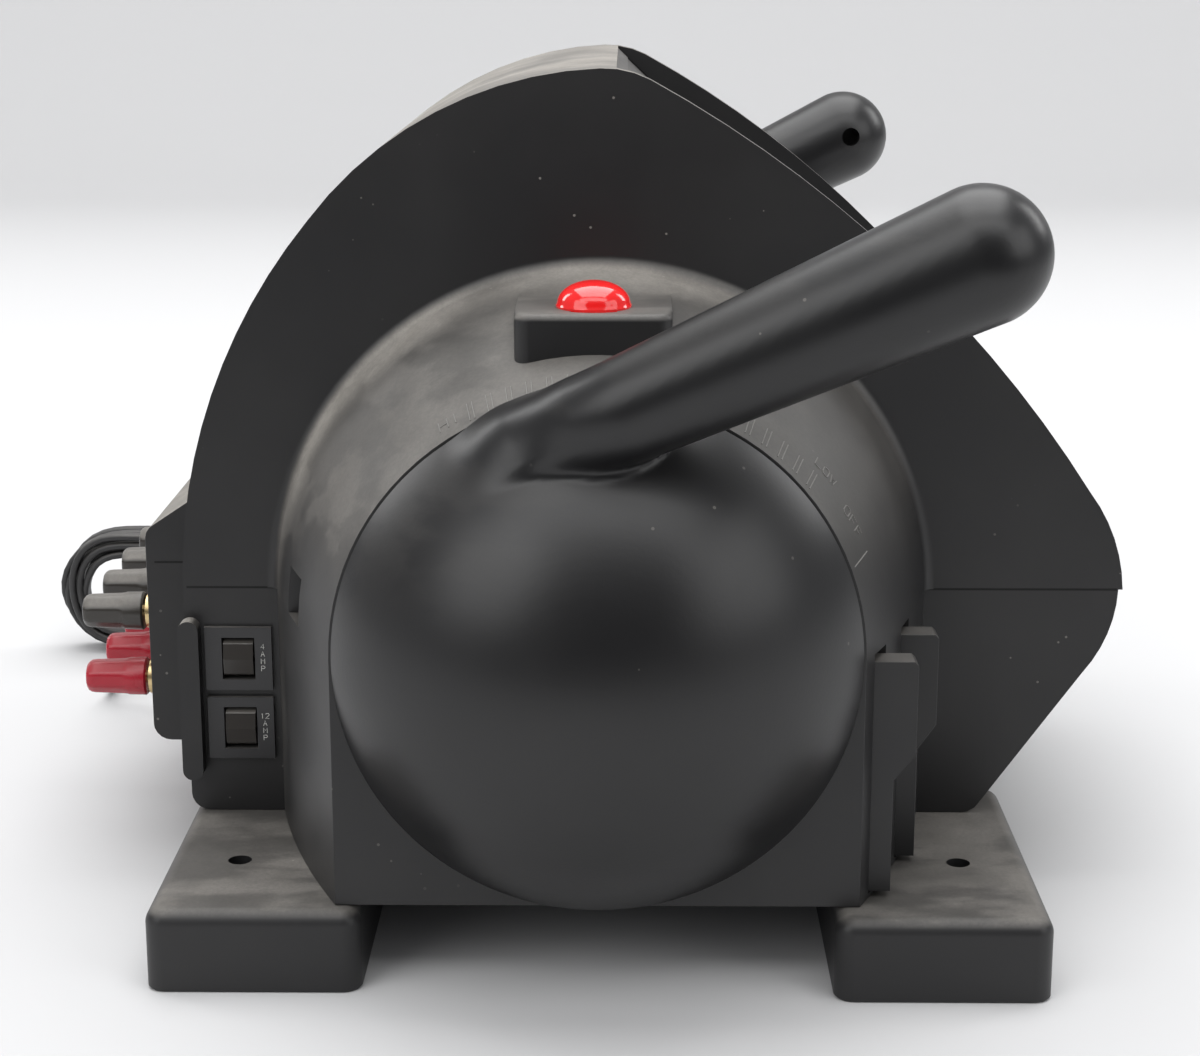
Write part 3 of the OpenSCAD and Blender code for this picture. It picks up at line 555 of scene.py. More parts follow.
def make_parting_line():
    """The gap between cover and case, as slim near-black bars let into the side walls and the terminal box: painted
    shadow in the gap.
    """
    bars = bmesh.new()
    deep, proud, tall = mm(0.5), mm(0.05), mm(0.3)
    spans = [((-TERMINAL_X + mm(3), TERMINAL_X - mm(3)), (TERMINAL_Y - deep, TERMINAL_Y + proud))]
    for sign in (-1, 1):
        for y0, y1 in ((COVER_LOW.y + mm(1.6), -LINE_END), (LINE_END, mm(116))):
            spans.append(((sign * (WALL_X - deep), sign * (WALL_X + proud)), (y0, y1)))
        spans.append(((sign * (TERMINAL_X - deep), sign * (TERMINAL_X + proud)),
                      (mm(118), TERMINAL_Y - mm(2.5))))
    for (x0, x1), (y0, y1) in spans:
        bar = bmesh.ops.create_cube(bars, size=1)["verts"]
        bmesh.ops.scale(bars, verts=bar, vec=(abs(x1 - x0), y1 - y0, tall * 2))
        bmesh.ops.translate(bars, verts=bar, vec=((x0 + x1) / 2, (y0 + y1) / 2, SEAM_Z))
    return put_mesh(bars, "parting_line", ROOT, "shadow_gap", 30)


def rounded_copy(node, name, rules, body=ROOT, smooth=32):
    """A copy of a CAD node whose edges are rounded: rules are (test, radius, segments), and each rounds the
    edges whose test holds for the two ends and the two faces' normals."""
    shell = bmesh.new()
    shell.from_mesh(NODES[node].data)
    bmesh.ops.remove_doubles(shell, verts=shell.verts, dist=2e-6)
    bmesh.ops.dissolve_limit(shell, angle_limit=math.radians(0.6), verts=shell.verts, edges=shell.edges)
    for test, radius, segments, *free in rules:  # a fourth item lifts the limit that short edges set
        picked = [e for e in shell.edges if len(e.link_faces) == 2 and e.calc_face_angle(0) > math.radians(25)
                  and test(e.verts[0].co, e.verts[1].co, e.link_faces[0].normal, e.link_faces[1].normal)]
        if picked:
            bmesh.ops.bevel(shell, geom=picked, offset=radius, offset_type="OFFSET", segments=segments,
                            profile=0.5, affect="EDGES", clamp_overlap=not free, loop_slide=True)
    bmesh.ops.triangulate(shell, faces=[f for f in shell.faces if len(f.verts) > 4])
    piece = put_mesh(shell, name, body, SLOT_OF[node], smooth, (node,))
    even(piece)
    return piece


def near(value, target, slack=0.0002):
    return abs(value - target) < slack


def on_rim(p, q, m, n):
    """An edge between a side wall and the outer skin of the housing's body."""
    far = min(math.hypot(v.y, v.z - SEAM_Z) for v in (p, q)) > mm(97) or max(p.z, q.z) < mm(24)
    flat = max(abs(m.x), abs(n.x)) > 0.99 and min(abs(m.x), abs(n.x)) < 0.2
    side = near(abs(p.x), WALL_X) and near(abs(q.x), WALL_X)
    return far and flat and side and not (near(p.z, SEAM_Z) and near(q.z, SEAM_Z))


def on_lamp_top(p, q, m, n):
    """The front rim of a lamp box's top."""
    return near(p.z, LAMP_TOP) and near(q.z, LAMP_TOP) and min(abs(p.x), abs(q.x)) > mm(125)


def on_terminal_back(p, q, m, n):
    """A level edge of the terminal box's back face."""
    return near(p.y, TERMINAL_Y) and near(q.y, TERMINAL_Y) and near(p.z, q.z) and not near(p.z, SEAM_Z) \
        and abs(p.x - q.x) > mm(60)


def on_terminal_end(p, q, m, n):
    """An upright edge at an end of the terminal box."""
    return near(abs(p.x), TERMINAL_X) and near(abs(q.x), TERMINAL_X) and near(p.y, TERMINAL_Y) \
        and near(q.y, TERMINAL_Y)


def on_root(p, q, m, n):
    """The inside corner where an end housing leaves the side wall."""
    reach = [math.hypot(v.y, v.z - SEAM_Z) for v in (p, q)]
    return near(abs(p.x), WALL_X) and near(abs(q.x), WALL_X) and min(reach) > mm(88) and max(reach) < mm(92) \
        and min(p.z, q.z) > SEAM_Z - mm(1)


def on_end_corner(p, q, m, n):
    """An upright or lower corner of an end housing's flat end."""
    return near(abs(p.x), END_X) and near(abs(q.x), END_X) and max(p.z, q.z) < SEAM_Z + mm(0.3) \
        and (near(p.y, q.y) or p.z < mm(30)) and not (near(p.z, SEAM_Z) and near(q.z, SEAM_Z))


def any_edge(p, q, m, n):
    return True


# ---- Surfaces from distance fields --------------------------------------------------
def isosurface(field, low, high, step):
    """Points and quads of the surface where field(points) is zero, drawn back onto it."""
    axes = [np.arange(a, b + step, step) for a, b in zip(low, high)]
    grid = np.stack(np.meshgrid(*axes, indexing="ij"), axis=-1)
    f = field(grid.reshape(-1, 3)).reshape(grid.shape[:3])
    inside = f < 0
    cells = tuple(n - 1 for n in f.shape)
    total = np.zeros(cells + (3,))
    count = np.zeros(cells)

    def corner(array, c):
        return array[tuple(slice(k, k + n) for k, n in zip(c, cells))]

    corners = [(i, j, k) for i in (0, 1) for j in (0, 1) for k in (0, 1)]
    for a in corners:
        for axis in range(3):
            if a[axis]:
                continue
            b = tuple(v + (k == axis) for k, v in enumerate(a))
            fa, fb = corner(f, a), corner(f, b)
            cross = corner(inside, a) != corner(inside, b)
            t = np.where(cross, fa / np.where(cross, fa - fb, 1), 0)[..., None]
            total += np.where(cross[..., None], corner(grid, a) * (1 - t) + corner(grid, b) * t, 0)
            count += cross
    used = count > 0
    index = np.full(cells, -1)
    index[used] = np.arange(used.sum())
    points = total[used] / count[used][:, None]
    quads = []
    for axis in range(3):
        u, v = [k for k in range(3) if k != axis]
        head = [slice(None)] * 3
        head[axis] = slice(0, -1)
        back = [slice(None)] * 3
        back[axis] = slice(1, None)
        cross = inside[tuple(head)] != inside[tuple(back)]
        where = np.argwhere(cross)
        where = where[(where[:, u] > 0) & (where[:, v] > 0)
                      & (where[:, u] < cells[u]) & (where[:, v] < cells[v])]
        ring = []
        for du, dv in ((1, 1), (0, 1), (0, 0), (1, 0)):
            at = where.copy()
            at[:, u] -= du
            at[:, v] -= dv
            ring.append(index[tuple(at.T)])
        ring = np.stack(ring, axis=1)
        flip = inside[tuple(where.T)] ^ (axis == 1)
        ring[~flip] = ring[~flip][:, ::-1]
        quads.append(ring)
    for _ in range(3):
        value = field(points)
        slope = np.stack([(field(points + d) - field(points - d)) / 2e-5 for d in np.eye(3) * 1e-5], axis=1)
        points = points - (value / np.maximum((slope ** 2).sum(1), 1e-6))[:, None] * slope
    return points, np.concatenate(quads)


def blend(a, b, reach):
    """The union of two distances, with a fillet whose width is reach."""
    h = np.clip(0.5 + 0.5 * (b - a) / reach, 0, 1)
    return b * (1 - h) + a * h - reach * h * (1 - h)


def ease(low, high, value):
    t = np.clip((value - low) / (high - low), 0, 1)
    return t * t * (3 - 2 * t)


# ---- Handles ------------------------------------------------------------------------
DOME_R, DOME_HEIGHT = mm(67), mm(39.4)
LEVER_ROOT = np.array([DOME_BASE - mm(12.0), mm(18.4), SEAM_Z + mm(55.2)])
LEVER_LONG, LEVER_R0, LEVER_R1 = mm(118.9), mm(11.8), mm(16.5)
LEVER_TURN = Matrix.Rotation(math.radians(-25.3), 3, "X") @ Matrix.Rotation(math.radians(-7.25), 3, "Z")
LEVER_ALONG = np.array(LEVER_TURN @ Vector((0, -1, 0)))
LEVER_OVER = np.array(LEVER_TURN @ Vector((0, 0, 1)))


def handle_field(points):
    """Distance to the dome and its lever, which flow together above the lever and meet in a crease below it."""
    sphere = (DOME_R ** 2 + DOME_HEIGHT ** 2) / (2 * DOME_HEIGHT)
    centre = np.array([DOME_BASE - DOME_HEIGHT + sphere, 0, SEAM_Z])
    dome = np.linalg.norm(points - centre, axis=1) - sphere
    rel = points - LEVER_ROOT
    along = rel @ LEVER_ALONG
    rel = rel - np.outer(1 - ease(mm(-6), mm(30), along), (mm(8), 0, 0))
    over = rel @ LEVER_OVER
    part = np.clip(along / LEVER_LONG, 0, 1)
    lever = np.linalg.norm(rel - part[:, None] * LEVER_LONG * LEVER_ALONG, axis=1) \
        - (LEVER_R0 + (LEVER_R1 - LEVER_R0) * part) * (0.74 + 0.26 * ease(mm(-8), mm(18), along))
    crease = ease(mm(-1), mm(-9), over) * ease(mm(-16), mm(0), along)
    return blend(dome, lever, mm(11) * (1 - crease) + mm(3.4) * crease)


def make_handle(side):
    """Dome and lever in one skin, flat at the dome's base, with a screw pocket in the lever's inner face."""
    points, quads = isosurface(handle_field, (DOME_BASE - mm(46), mm(-108), SEAM_Z - mm(69)),
                               (DOME_BASE + mm(2.5), mm(71), SEAM_Z + mm(125)), mm(1.25))
    sign = 1 if side == "left" else -1
    skin = bmesh.new()
    for x, y, z in points:
        skin.verts.new((x * sign, y, z))
    skin.verts.ensure_lookup_table()
    for quad in quads:
        ring = [skin.verts[i] for i in (quad if sign > 0 else quad[::-1])]
        skin.faces.new(ring)
    bmesh.ops.bisect_plane(skin, geom=skin.verts[:] + skin.edges[:] + skin.faces[:],
                           plane_co=(DOME_BASE * sign, 0, 0), plane_no=(sign, 0, 0), clear_outer=True)
    rim = [e for e in skin.edges if e.is_boundary]
    bmesh.ops.holes_fill(skin, edges=rim, sides=0)
    bmesh.ops.recalc_face_normals(skin, faces=skin.faces)
    tip = LEVER_ROOT + LEVER_ALONG * LEVER_LONG
    inward = np.array(LEVER_TURN @ Vector((1, 0, 0)))
    handle = put_mesh(skin, side + "_handle_skin", side + "_handle", "handle_plastic", 40,
                      (side + "_handle_shell", side + "_handle_inner"))
    pocket = bmesh.new()
    bmesh.ops.create_cone(pocket, cap_ends=True, segments=40, radius1=mm(3.3), radius2=mm(3.3), depth=mm(14))
    place = Vector(tip + inward * mm(15.5))
    place.x *= sign
    axis = Vector((inward[0] * sign, inward[1], inward[2]))
    bmesh.ops.transform(pocket, verts=pocket.verts,
                        matrix=Matrix.Translation(place) @ axis.to_track_quat("Z", "Y").to_matrix().to_4x4())
    subtract(handle, pocket)
    return handle


def subtract(thing, cutter):
    """Cuts a bmesh out of a piece and keeps the result as its mesh."""
    data = bpy.data.meshes.new("cutter")
    cutter.to_mesh(data)
    cutter.free()
    tool = bpy.data.objects.new("cutter", data)
    bpy.context.scene.collection.objects.link(tool)
    cut = thing.modifiers.new("cut", "BOOLEAN")
    cut.object = tool
    cut.solver = "EXACT"
    tool.matrix_world = Matrix.Identity(4)
    bpy.context.view_layer.update()
    with bpy.context.temp_override(object=thing, active_object=thing, selected_objects=[thing]):
        bpy.ops.object.modifier_apply(modifier="cut")
    bpy.data.objects.remove(tool)
    bpy.data.meshes.remove(data)


# ---- Lofts --------------------------------------------------------------------------
def loft(rings, closed=False, caps=True):
    """A bmesh skinned over rings of equally many points; closed joins the last ring to the first."""
    skin = bmesh.new()
    rows = [[skin.verts.new(tuple(v)) for v in ring] for ring in rings]
    pairs = list(zip(rows, rows[1:])) + ([(rows[-1], rows[0])] if closed else [])
    for a, b in pairs:
        for i in range(len(a)):
            j = (i + 1) % len(a)
            skin.faces.new((a[i], a[j], b[j], b[i]))
    if caps and not closed:
        skin.faces.new(rows[0][::-1])
        skin.faces.new(rows[-1])
    bmesh.ops.recalc_face_normals(skin, faces=skin.faces)
    return skin


def round_rectangle(low, high, radius, per_corner=10):
    """Points of a rounded rectangle in plan, anticlockwise from the middle of its +X side's lower corner."""
    points = []
    for cx, cy, start in ((high[0] - radius, low[1] + radius, -90), (high[0] - radius, high[1] - radius, 0),
                          (low[0] + radius, high[1] - radius, 90), (low[0] + radius, low[1] + radius, 180)):
        for i in range(per_corner):
            a = math.radians(start + 90 * i / (per_corner - 1))
            points.append((cx + radius * math.cos(a), cy + radius * math.sin(a)))
    return points


def make_foot(node):
    """A foot: upright round corners, a wide soft top edge, and the screw hole right through it."""
    low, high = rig.box(node)
    corner, soft, lip = mm(5), mm(4.2), mm(0.7)

    def outline(inset):
        return round_rectangle((low.x + inset, low.y + inset), (high.x - inset, high.y - inset),
                               max(corner - inset, mm(0.8)))

    rings = [[(x, y, low.z) for x, y in outline(lip)], [(x, y, low.z + lip) for x, y in outline(0)]]
    for i in range(9):
        a = math.radians(90 * i / 8)
        rings.append([(x, y, high.z - soft + soft * math.sin(a)) for x, y in outline(soft * (1 - math.cos(a)))])
    foot = put_mesh(loft(rings), node + "_block", ROOT, "foot_plastic", 30, (node,))
    bore = bmesh.new()
    bmesh.ops.create_cone(bore, cap_ends=True, segments=40, radius1=FOOT_HOLE_R, radius2=FOOT_HOLE_R,
                          depth=mm(60))
    hole = (math.copysign(FOOT_HOLE_X, low.x), math.copysign(FOOT_HOLE_Y, low.y), 0)
    bmesh.ops.translate(bore, verts=bore.verts, vec=hole)
    subtract(foot, bore)
    even(foot)
    return foot


# ---- Posts --------------------------------------------------------------------------
def make_cap(node, slot):
    """A post's cap: a round collar, then eight shallow flats narrowing to a rounded end."""
    low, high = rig.box(node)
    cx, cz = (low.x + high.x) / 2, (low.z + high.z) / 2
    base_r, long = mm(5.7), high.y - low.y
    stations = [(0, 0.90, 0), (0.03, 1.0, 0), (0.30, 0.985, 0), (0.34, 0.95, 0.2), (0.40, 0.93, 1),
                (0.86, 0.88, 1), (0.93, 0.85, 0.9), (0.97, 0.78, 0.7), (0.99, 0.70, 0.5), (1.0, 0.60, 0.3)]
    steps = 64
    rings = []
    for part, size, flat in stations:
        ring = []
        for i in range(steps):
            a = 2 * math.pi * i / steps
            off = (a + math.pi / 8) % (math.pi / 4) - math.pi / 8
            facet = 0.955 / max(math.cos(off), 0.955)
            r = base_r * size * (1 - flat + flat * facet)
            ring.append((cx + r * math.cos(a), low.y + long * part, cz + r * math.sin(a)))
        rings.append(ring)
    return put_mesh(loft(rings), node + "_knob", node, slot, 28, (node,))


# ---- Fine raised lines --------------------------------------------------------------
def ribbon(skin, points, normals, wide, tall):
    """A fine raised line along points on a surface, as a closed bar."""
    rows = []
    for i, (p, n) in enumerate(zip(points, normals)):
        p, n = Vector(p), Vector(n).normalized()
        q = Vector(points[min(i + 1, len(points) - 1)]) - Vector(points[max(i - 1, 0)])
        side = q.cross(n).normalized() * wide / 2
        rows.append([skin.verts.new(p + side - n * tall), skin.verts.new(p - side - n * tall),
                     skin.verts.new(p - side * 0.7 + n * tall), skin.verts.new(p + side * 0.7 + n * tall)])
    for a, b in zip(rows, rows[1:]):
        for i in range(4):
            skin.faces.new((a[i], a[(i + 1) % 4], b[(i + 1) % 4], b[i]))
    skin.faces.new(rows[0][::-1])
    skin.faces.new(rows[-1])


# Strokes of the letters and figures used, on a cell 4 wide and 6 high
LETTERS = {
    "H": [[(0, 0), (0, 6)], [(4, 0), (4, 6)], [(0, 3), (4, 3)]], "I": [[(2, 0), (2, 6)]],
    "O": [[(0, 1), (0, 5), (1, 6), (3, 6), (4, 5), (4, 1), (3, 0), (1, 0), (0, 1)]],
    "F": [[(0, 0), (0, 6), (4, 6)], [(0, 3), (3, 3)]], "L": [[(0, 6), (0, 0), (4, 0)]],
    "W": [[(0, 6), (1, 0), (2, 4), (3, 0), (4, 6)]], "A": [[(0, 0), (2, 6), (4, 0)], [(0.8, 2.2), (3.2, 2.2)]],
    "M": [[(0, 0), (0, 6), (2, 3), (4, 6), (4, 0)]],
    "P": [[(0, 0), (0, 6), (3, 6), (4, 5), (4, 4), (3, 3), (0, 3)]],
    "1": [[(1, 5), (2, 6), (2, 0)]], "2": [[(0, 5), (1, 6), (3, 6), (4, 5), (4, 4), (0, 0), (4, 0)]],
    "4": [[(3, 0), (3, 6), (0, 2), (4, 2)]],
}


def flare_r(s):
    """Half width of an end housing at distance s from its flat end."""
    t = s / FLARE_LONG
    return END_R + (ROOT_R - END_R) * t + 4 * FLARE_BULGE * t * (1 - t)


def on_flare(s, degrees, sign):
    """A point of an end housing's skin and its normal."""
    a = math.radians(degrees)
    r, slope = flare_r(s), (flare_r(s + 1e-4) - flare_r(s - 1e-4)) / 2e-4
    point = Vector((sign * (END_X - s), r * math.cos(a) * -1, SEAM_Z + r * math.sin(a)))
    normal = Vector((sign * slope, -math.cos(a), math.sin(a))).normalized()
    return point, normal


SCALE_R = mm(72)


def make_scale(side):
    """Raised marks round the end housing, from the low end of the lever's travel to the high end, in pale grey:
    painted highlight of the raised marks.
    """
    sign = -1 if side == "left" else 1
    skin = bmesh.new()

    def line(points):
        placed = [on_flare(s, a, sign) for s, a in points]
        ribbon(skin, [p + n * mm(0.06) for p, n in placed], [n for _, n in placed], mm(0.3), mm(0.1))

    def word(text, s0, centre, size):
        step = math.degrees(size * 5.6 / SCALE_R)
        start = centre + step * (len(text) - 1) / 2
        for k, letter in enumerate(text):
            for stroke in LETTERS[letter]:
                line([(s0 + y * size, start - k * step - math.degrees((x - 2) * size / SCALE_R))
                      for x, y in stroke])

    for k in range(20):
        angle = 116.5 - k * 4.22
        if angle < 38:
            break
        for shift in (-0.55, 0.55):
            line([(mm(2 + 1.75 * i), angle + shift) for i in range(5)])
    word("HI", mm(4), 121.5, mm(0.62))
    word("LOW", mm(12), 38.5, mm(0.5))
    word("OFF", mm(9.5), 27.5, mm(0.55))
    line([(mm(2 + 2 * i), 20.5) for i in range(6)])
    return put_mesh(skin, side + "_scale", ROOT, "worn_edge", 30)


def make_rating(node, lines):
    """White figures and letters on a breaker's face, one below the other."""
    low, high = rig.box(node)
    x, size = low.x - mm(0.02), mm(0.25)
    skin = bmesh.new()
    for row, text in enumerate(lines):
        for k, letter in enumerate(text):
            for stroke in LETTERS[letter]:
                y0 = low.y + mm(2.6) + (len(text) - 1) * size * 2.8 - k * size * 5.6
                z0 = high.z - mm(5.6) - row * mm(2.15)
                points = [(x, y0 - (u - 2) * size, z0 + (v - 3) * size) for u, v in stroke]
                ribbon(skin, points, [(-1, 0, 0)] * len(points), mm(0.17), mm(0.05))
    return put_mesh(skin, node + "_rating", ROOT, "lamp_white", 30)


# ---- Lamps --------------------------------------------------------------------------
def make_lens(side):
    """The jewel: a crowned cap with a fine foot ring."""
    node = side + "_lamp_lens"
    low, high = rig.box(node)
    cx, cy = (low.x + high.x) / 2, (low.y + high.y) / 2
    r, top = (high.x - low.x) / 2, high.z
    foot = LAMP_TOP
    profile = [(r * 0.80, foot - mm(5)), (r * 0.84, foot - mm(0.2)), (r * 0.99, foot), (r, foot + mm(0.5)),
               (r * 0.98, foot + mm(0.9))]
    rise = top - foot - mm(0.9)
    for i in range(1, 17):
        a = math.radians(90 * i / 16.5)
        profile.append((r * 0.965 * math.cos(a), foot + mm(0.9) + rise * math.sin(a)))
    steps = 72
    rings = [[(cx + q * math.cos(2 * math.pi * i / steps), cy + q * math.sin(2 * math.pi * i / steps), z)
              for i in range(steps)] for q, z in profile]
    return put_mesh(loft(rings), side + "_jewel", ROOT, "lens_red", 30, (node,))


# ---- Cord ---------------------------------------------------------------------------
CORD_WIDE, CORD_THICK = mm(4.7), mm(2.7)
HANK_LOW, HANK_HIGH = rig.box("cord_hank")
# The lead's way from the strain relief down to the hank, and the tail's from the hank into the plug, in mm
LEAD = [(68, 133, 48.4), (68, 138, 48), (68, 146, 46.5), (69, 155, 42), (71, 163, 34), (75, 170, 24),
        (81, 175, 14), (89, 178, 6), (99, 179, 2.2), (112, 178, 1.7), (124, 174, 1.7), (133, 168, 1.7),
        (140, 161, 1.7), (144.3, 155.5, 1.7)]
TAIL = [(161.6, 178, 1.7), (164.1, 168, 1.8), (164.9, 158, 2.0), (165.2, 148, 2.4), (165.9, 139, 3.4),
        (167, 131, 5), (167.5, 125, 6), (167.5, 121.5, 6)]


def smooth_path(points, per_span=8):
    """A Catmull-Rom curve through points."""
    pts = [Vector(p) for p in points]
    pts = [pts[0] * 2 - pts[1]] + pts + [pts[-1] * 2 - pts[-2]]
    out = []
    for a, b, c, d in zip(pts, pts[1:], pts[2:], pts[3:]):
        for i in range(per_span):
            t = i / per_span
            out.append(0.5 * ((2 * b) + (c - a) * t + (2 * a - 5 * b + 4 * c - d) * t * t
                              + (3 * b - a - 3 * c + d) * t ** 3))
    out.append(pts[-2])
    return out


def make_cord():
    """The whole cord: lead from the strain relief, nine turns of the hank, and the tail into the plug."""
    cells = [(0, 0), (1, 0), (2, 0), (2, 1), (2, 2), (1, 2), (1, 1), (0, 1), (0, 2)]
    half = (HANK_HIGH.z - HANK_LOW.z) / 2
    y0, y1 = HANK_LOW.y + half, HANK_HIGH.y - half
    zc = HANK_LOW.z + half

    def spot(cell, part):
        """Where a turn's cell is at a part of the way round: along the bottom, up, back along the top, down."""
        layer, column = cell
        shift, lift = ((mm(-6), mm(1.6)), (mm(0.5), mm(-1.2)), (mm(-2.5), mm(0.4)))[column]
        middle = (HANK_LOW.y + HANK_HIGH.y) / 2

        def settle(v):
            w = max(0.0, (v.y - middle) / (HANK_HIGH.y - middle)) ** 2
            return v + Vector((0, shift * w, lift * w * (1 if v.z > zc else -0.2)))

        r = half - mm(1.55) - layer * mm(3.15)
        x = HANK_LOW.x + mm(2.9) + column * mm(6.0)
        flat = y1 - y0
        whole = 2 * flat + 2 * math.pi * r
        d = part * whole
        if d < flat:
            return settle(Vector((x, y1 - d, zc - r)))
        d -= flat
        if d < math.pi * r:
            a = d / r
            return Vector((x, y0 - r * math.sin(a), zc - r * math.cos(a)))
        d -= math.pi * r
        if d < flat:
            return settle(Vector((x, y0 + d, zc + r)))
        a = (d - flat) / r
        return settle(Vector((x, y1 + r * math.sin(a), zc + r * math.cos(a))))

    path = smooth_path([mm(*p) for p in LEAD], 5)
    turn_steps = 44
    for n, cell in enumerate(cells):
        following = cells[min(n + 1, len(cells) - 1)]
        first = 0.17 if n == 0 else 0
        for i in range(turn_steps):
            part = first + (1.0 - first) * i / turn_steps
            blend_in = float(ease(0.80, 1.0, np.array(part)))
            here, there = spot(cell, part), spot(following, part)
            wobble = Vector((math.sin(7 * part + 2.1 * n) * mm(0.35), 0, 0)) * math.sin(math.pi * part) ** 2
            slack = Vector((0, mm(1.6) * math.sin(2.4 * n + 0.5), mm(0.8) * math.cos(1.7 * n))) \
                * float(ease(0.45, 0.75, np.array(part)) * (1 - ease(0.75, 0.98, np.array(part)))) * 0.5
            path.append(here + (there - here) * blend_in + wobble + slack)
    end = path[-1]
    path += smooth_path([end + Vector((0, -0.004, 0))] + [mm(*p) for p in TAIL], 5)
    return sweep_cord(path)


def sweep_cord(path):
    """Sweeps the two-lobed section along the path, its wide side lying across the bends."""
    even = [path[0]]
    for p in path[1:]:
        if (p - even[-1]).length > mm(1.6):
            even.append(p)
    even.append(path[-1])
    pts = np.array([tuple(p) for p in even])
    for _ in range(3):
        pts[1:-1] = pts[1:-1] * 0.5 + (pts[:-2] + pts[2:]) * 0.25
    lobe, steps = CORD_THICK / 2, 20
    section = []
    for i in range(steps):
        a = 2 * math.pi * i / steps
        apart = math.copysign((CORD_WIDE - CORD_THICK) / 2, math.cos(a))
        u = math.cos(a) * lobe + apart * min(1, abs(math.cos(a)) * 3)
        v = math.sin(a) * lobe * (1 - 0.22 * math.exp(-(math.cos(a) / 0.22) ** 2))
        section.append((u, v))
    rings = []
    wide = Vector((1, 0, 0))
    for i, p in enumerate(pts):
        ahead = Vector(pts[min(i + 1, len(pts) - 1)] - pts[max(i - 1, 0)]).normalized()
        aim = Vector((1, 0, 0)) if abs(ahead.x) < 0.8 else wide
        wide = (wide * 0.7 + aim * 0.3)
        wide = (wide - ahead * wide.dot(ahead)).normalized()
        thick = ahead.cross(wide)
        rings.append([Vector(p) + wide * u + thick * v for u, v in section])
    cord = put_mesh(loft(rings), "cord", ROOT, "cord_rubber", 50, ("cord_lead", "cord_hank", "cord_tail"))
    length = float(np.linalg.norm(np.diff(pts, axis=0), axis=1).sum())
    return cord, [tuple(p) for p in pts], length


def make_tie():
    """A nylon band drawn round the hank, with its square head and a cropped tail."""
    low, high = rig.box("cable_tie")
    y, half = (low.y + high.y) / 2, mm(1.9)
    top = HANK_HIGH.z + mm(0.8)
    loop = round_rectangle((low.x + mm(0.7), mm(0.9)), (high.x - mm(0.7), top), mm(4), 6)
    cx, cz = (low.x + high.x) / 2, top / 2
    rings = []
    for x, z in loop:
        out = Vector((x - cx, 0, z - cz)).normalized() * mm(0.55)
        near_edge, far_edge = Vector((x, y - half, z)), Vector((x, y + half, z))
        rings.append([near_edge - out, far_edge - out, far_edge + out, near_edge + out])
    tie = loft(rings, closed=True)
    for size, place in (((mm(6), mm(5), mm(4.6)), (cx, y, top + mm(1.4))),
                        ((mm(2), mm(3.6), mm(3.2)), (cx - mm(2.6), y, top + mm(3)))):
        block = bmesh.ops.create_cube(tie, size=1)["verts"]
        bmesh.ops.scale(tie, verts=block, vec=size)
        bmesh.ops.translate(tie, verts=block, vec=place)
        edges = list({e for v in block for e in v.link_edges})
        bmesh.ops.bevel(tie, geom=edges, offset=mm(0.5), offset_type="OFFSET", segments=2, profile=0.5,
                        affect="EDGES", clamp_overlap=True)
    return put_mesh(tie, "tie_band", ROOT, "cord_rubber", 35, ("cable_tie",))


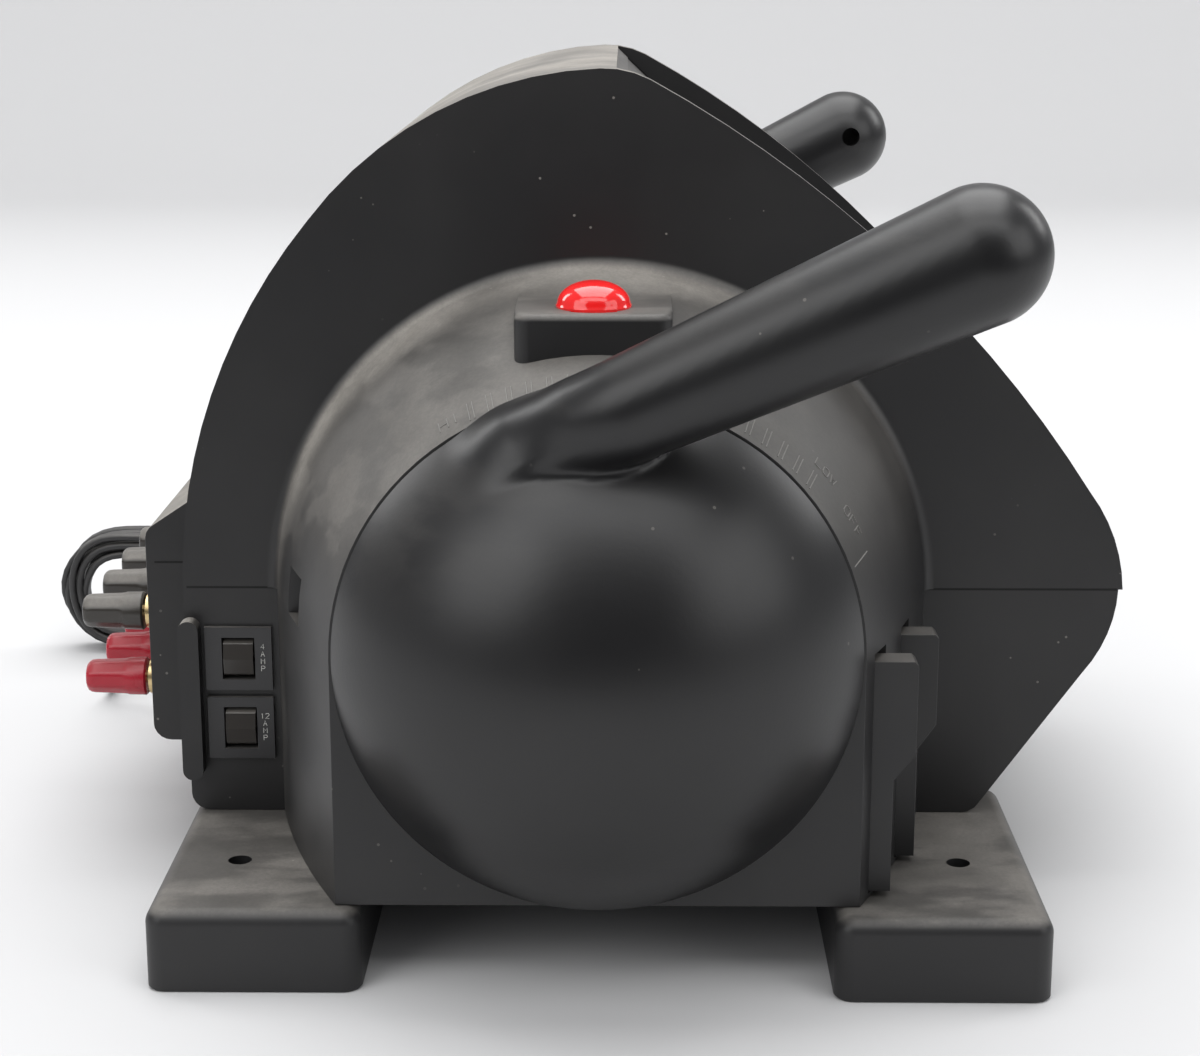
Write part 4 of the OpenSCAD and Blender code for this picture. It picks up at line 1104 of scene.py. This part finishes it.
# ---- Making: camera and cord first --------------------------------------------------
bpy.context.scene.view_settings.view_transform = "Standard"
make_camera()
cord_piece, cord_path, cord_length = make_cord()
tie_piece = make_tie()
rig.cord(cord_piece, exit=cord_path[0], length=round(cord_length, 3), diameter=CORD_WIDE, far_end="plug",
        stiffness="medium", lay="coiled", path=cord_path,
        with_pieces=["plug", tie_piece, "strain_relief"])
make_stage()
for name, place, aim, size, power in (
        ("overhead", (0.35, 0.0, 1.7), (0.1, 0, 0.1), (1.7, 1.9), 38),
        ("backdrop_left", (0.9, 1.6, 1.1), (1.8, 0.5, 0.5), (1.0, 1.0), 17),
        ("backdrop_right", (0.9, -1.6, 1.1), (1.8, -0.5, 0.5), (1.0, 1.0), 17),
        ("front_top", (-0.95, 0.0, 1.45), (-0.1, 0, 0.1), (2.2, 0.6), 11),
        ("near_left", (-1.2, 1.1, 0.9), (-0.1, 0, 0.1), (1.2, 1.0), 9),
        ("near_right", (-0.9, -1.4, 0.8), (-0.1, 0, 0.1), (1.2, 1.0), 7)):
    make_light(name, place, aim, size, power)
make_dark_card("room_floor", (-2.6, -2.6, 0.001), (1.95, 0, 0), (0, 5.2, 0))
make_dark_card("room_wall", (-1.6, -1.6, 0.0), (0, 3.2, 0), (0, 0, 1.05))
world = bpy.data.worlds.new("studio_air")
bpy.context.scene.world = world
world.use_nodes = True
world.node_tree.nodes["Background"].inputs["Color"].default_value = (0.86, 0.87, 0.9, 1)
world.node_tree.nodes["Background"].inputs["Strength"].default_value = 0.3

for name, node in NODES.items():
    sharpen(node)
    dress(node, SLOT_OF[name])

rounded_copy("upper_cover", "cover_shell", [(on_rim, mm(4.5), 5), (on_terminal_back, mm(2.5), 4),
                                            (on_terminal_end, mm(2), 3),
                                            (on_root, mm(3), 4), (on_lamp_top, mm(2.0), 4, True)])
rounded_copy("lower_case", "case_shell", [(on_rim, mm(4.5), 5), (on_terminal_back, mm(5.2), 5),
                                          (on_terminal_end, mm(2), 3), (on_end_corner, mm(1.5), 3)])
make_parting_line()
for side in ("left", "right"):
    make_handle(side)
    make_scale(side)
    make_lens(side)
    for key in ("direction_key", "whistle_key"):
        moving = side + "_" + key
        rounded_copy(moving, moving + "_moulded", [(any_edge, mm(0.9), 3)], moving)
    for end in ("front", "rear"):
        make_foot("foot_" + end + "_" + side)
for colour in ("black", "red"):
    for i in range(1, 5):
        make_cap(colour + "_cap_" + str(i), "cap_" + colour)
for size, lines in (("small", ("4", "A", "M", "P")), ("large", ("12", "A", "M", "P"))):
    rounded_copy(size + "_breaker_body", size + "_breaker_case", [(any_edge, mm(0.25), 2)])
    make_rating(size + "_breaker_body", lines)

low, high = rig.bounds()
with open("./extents.json", "w") as f:
    json.dump({"cad": [list(CAD_LOW), list(CAD_HIGH)], "visual": [list(low), list(high)]}, f)
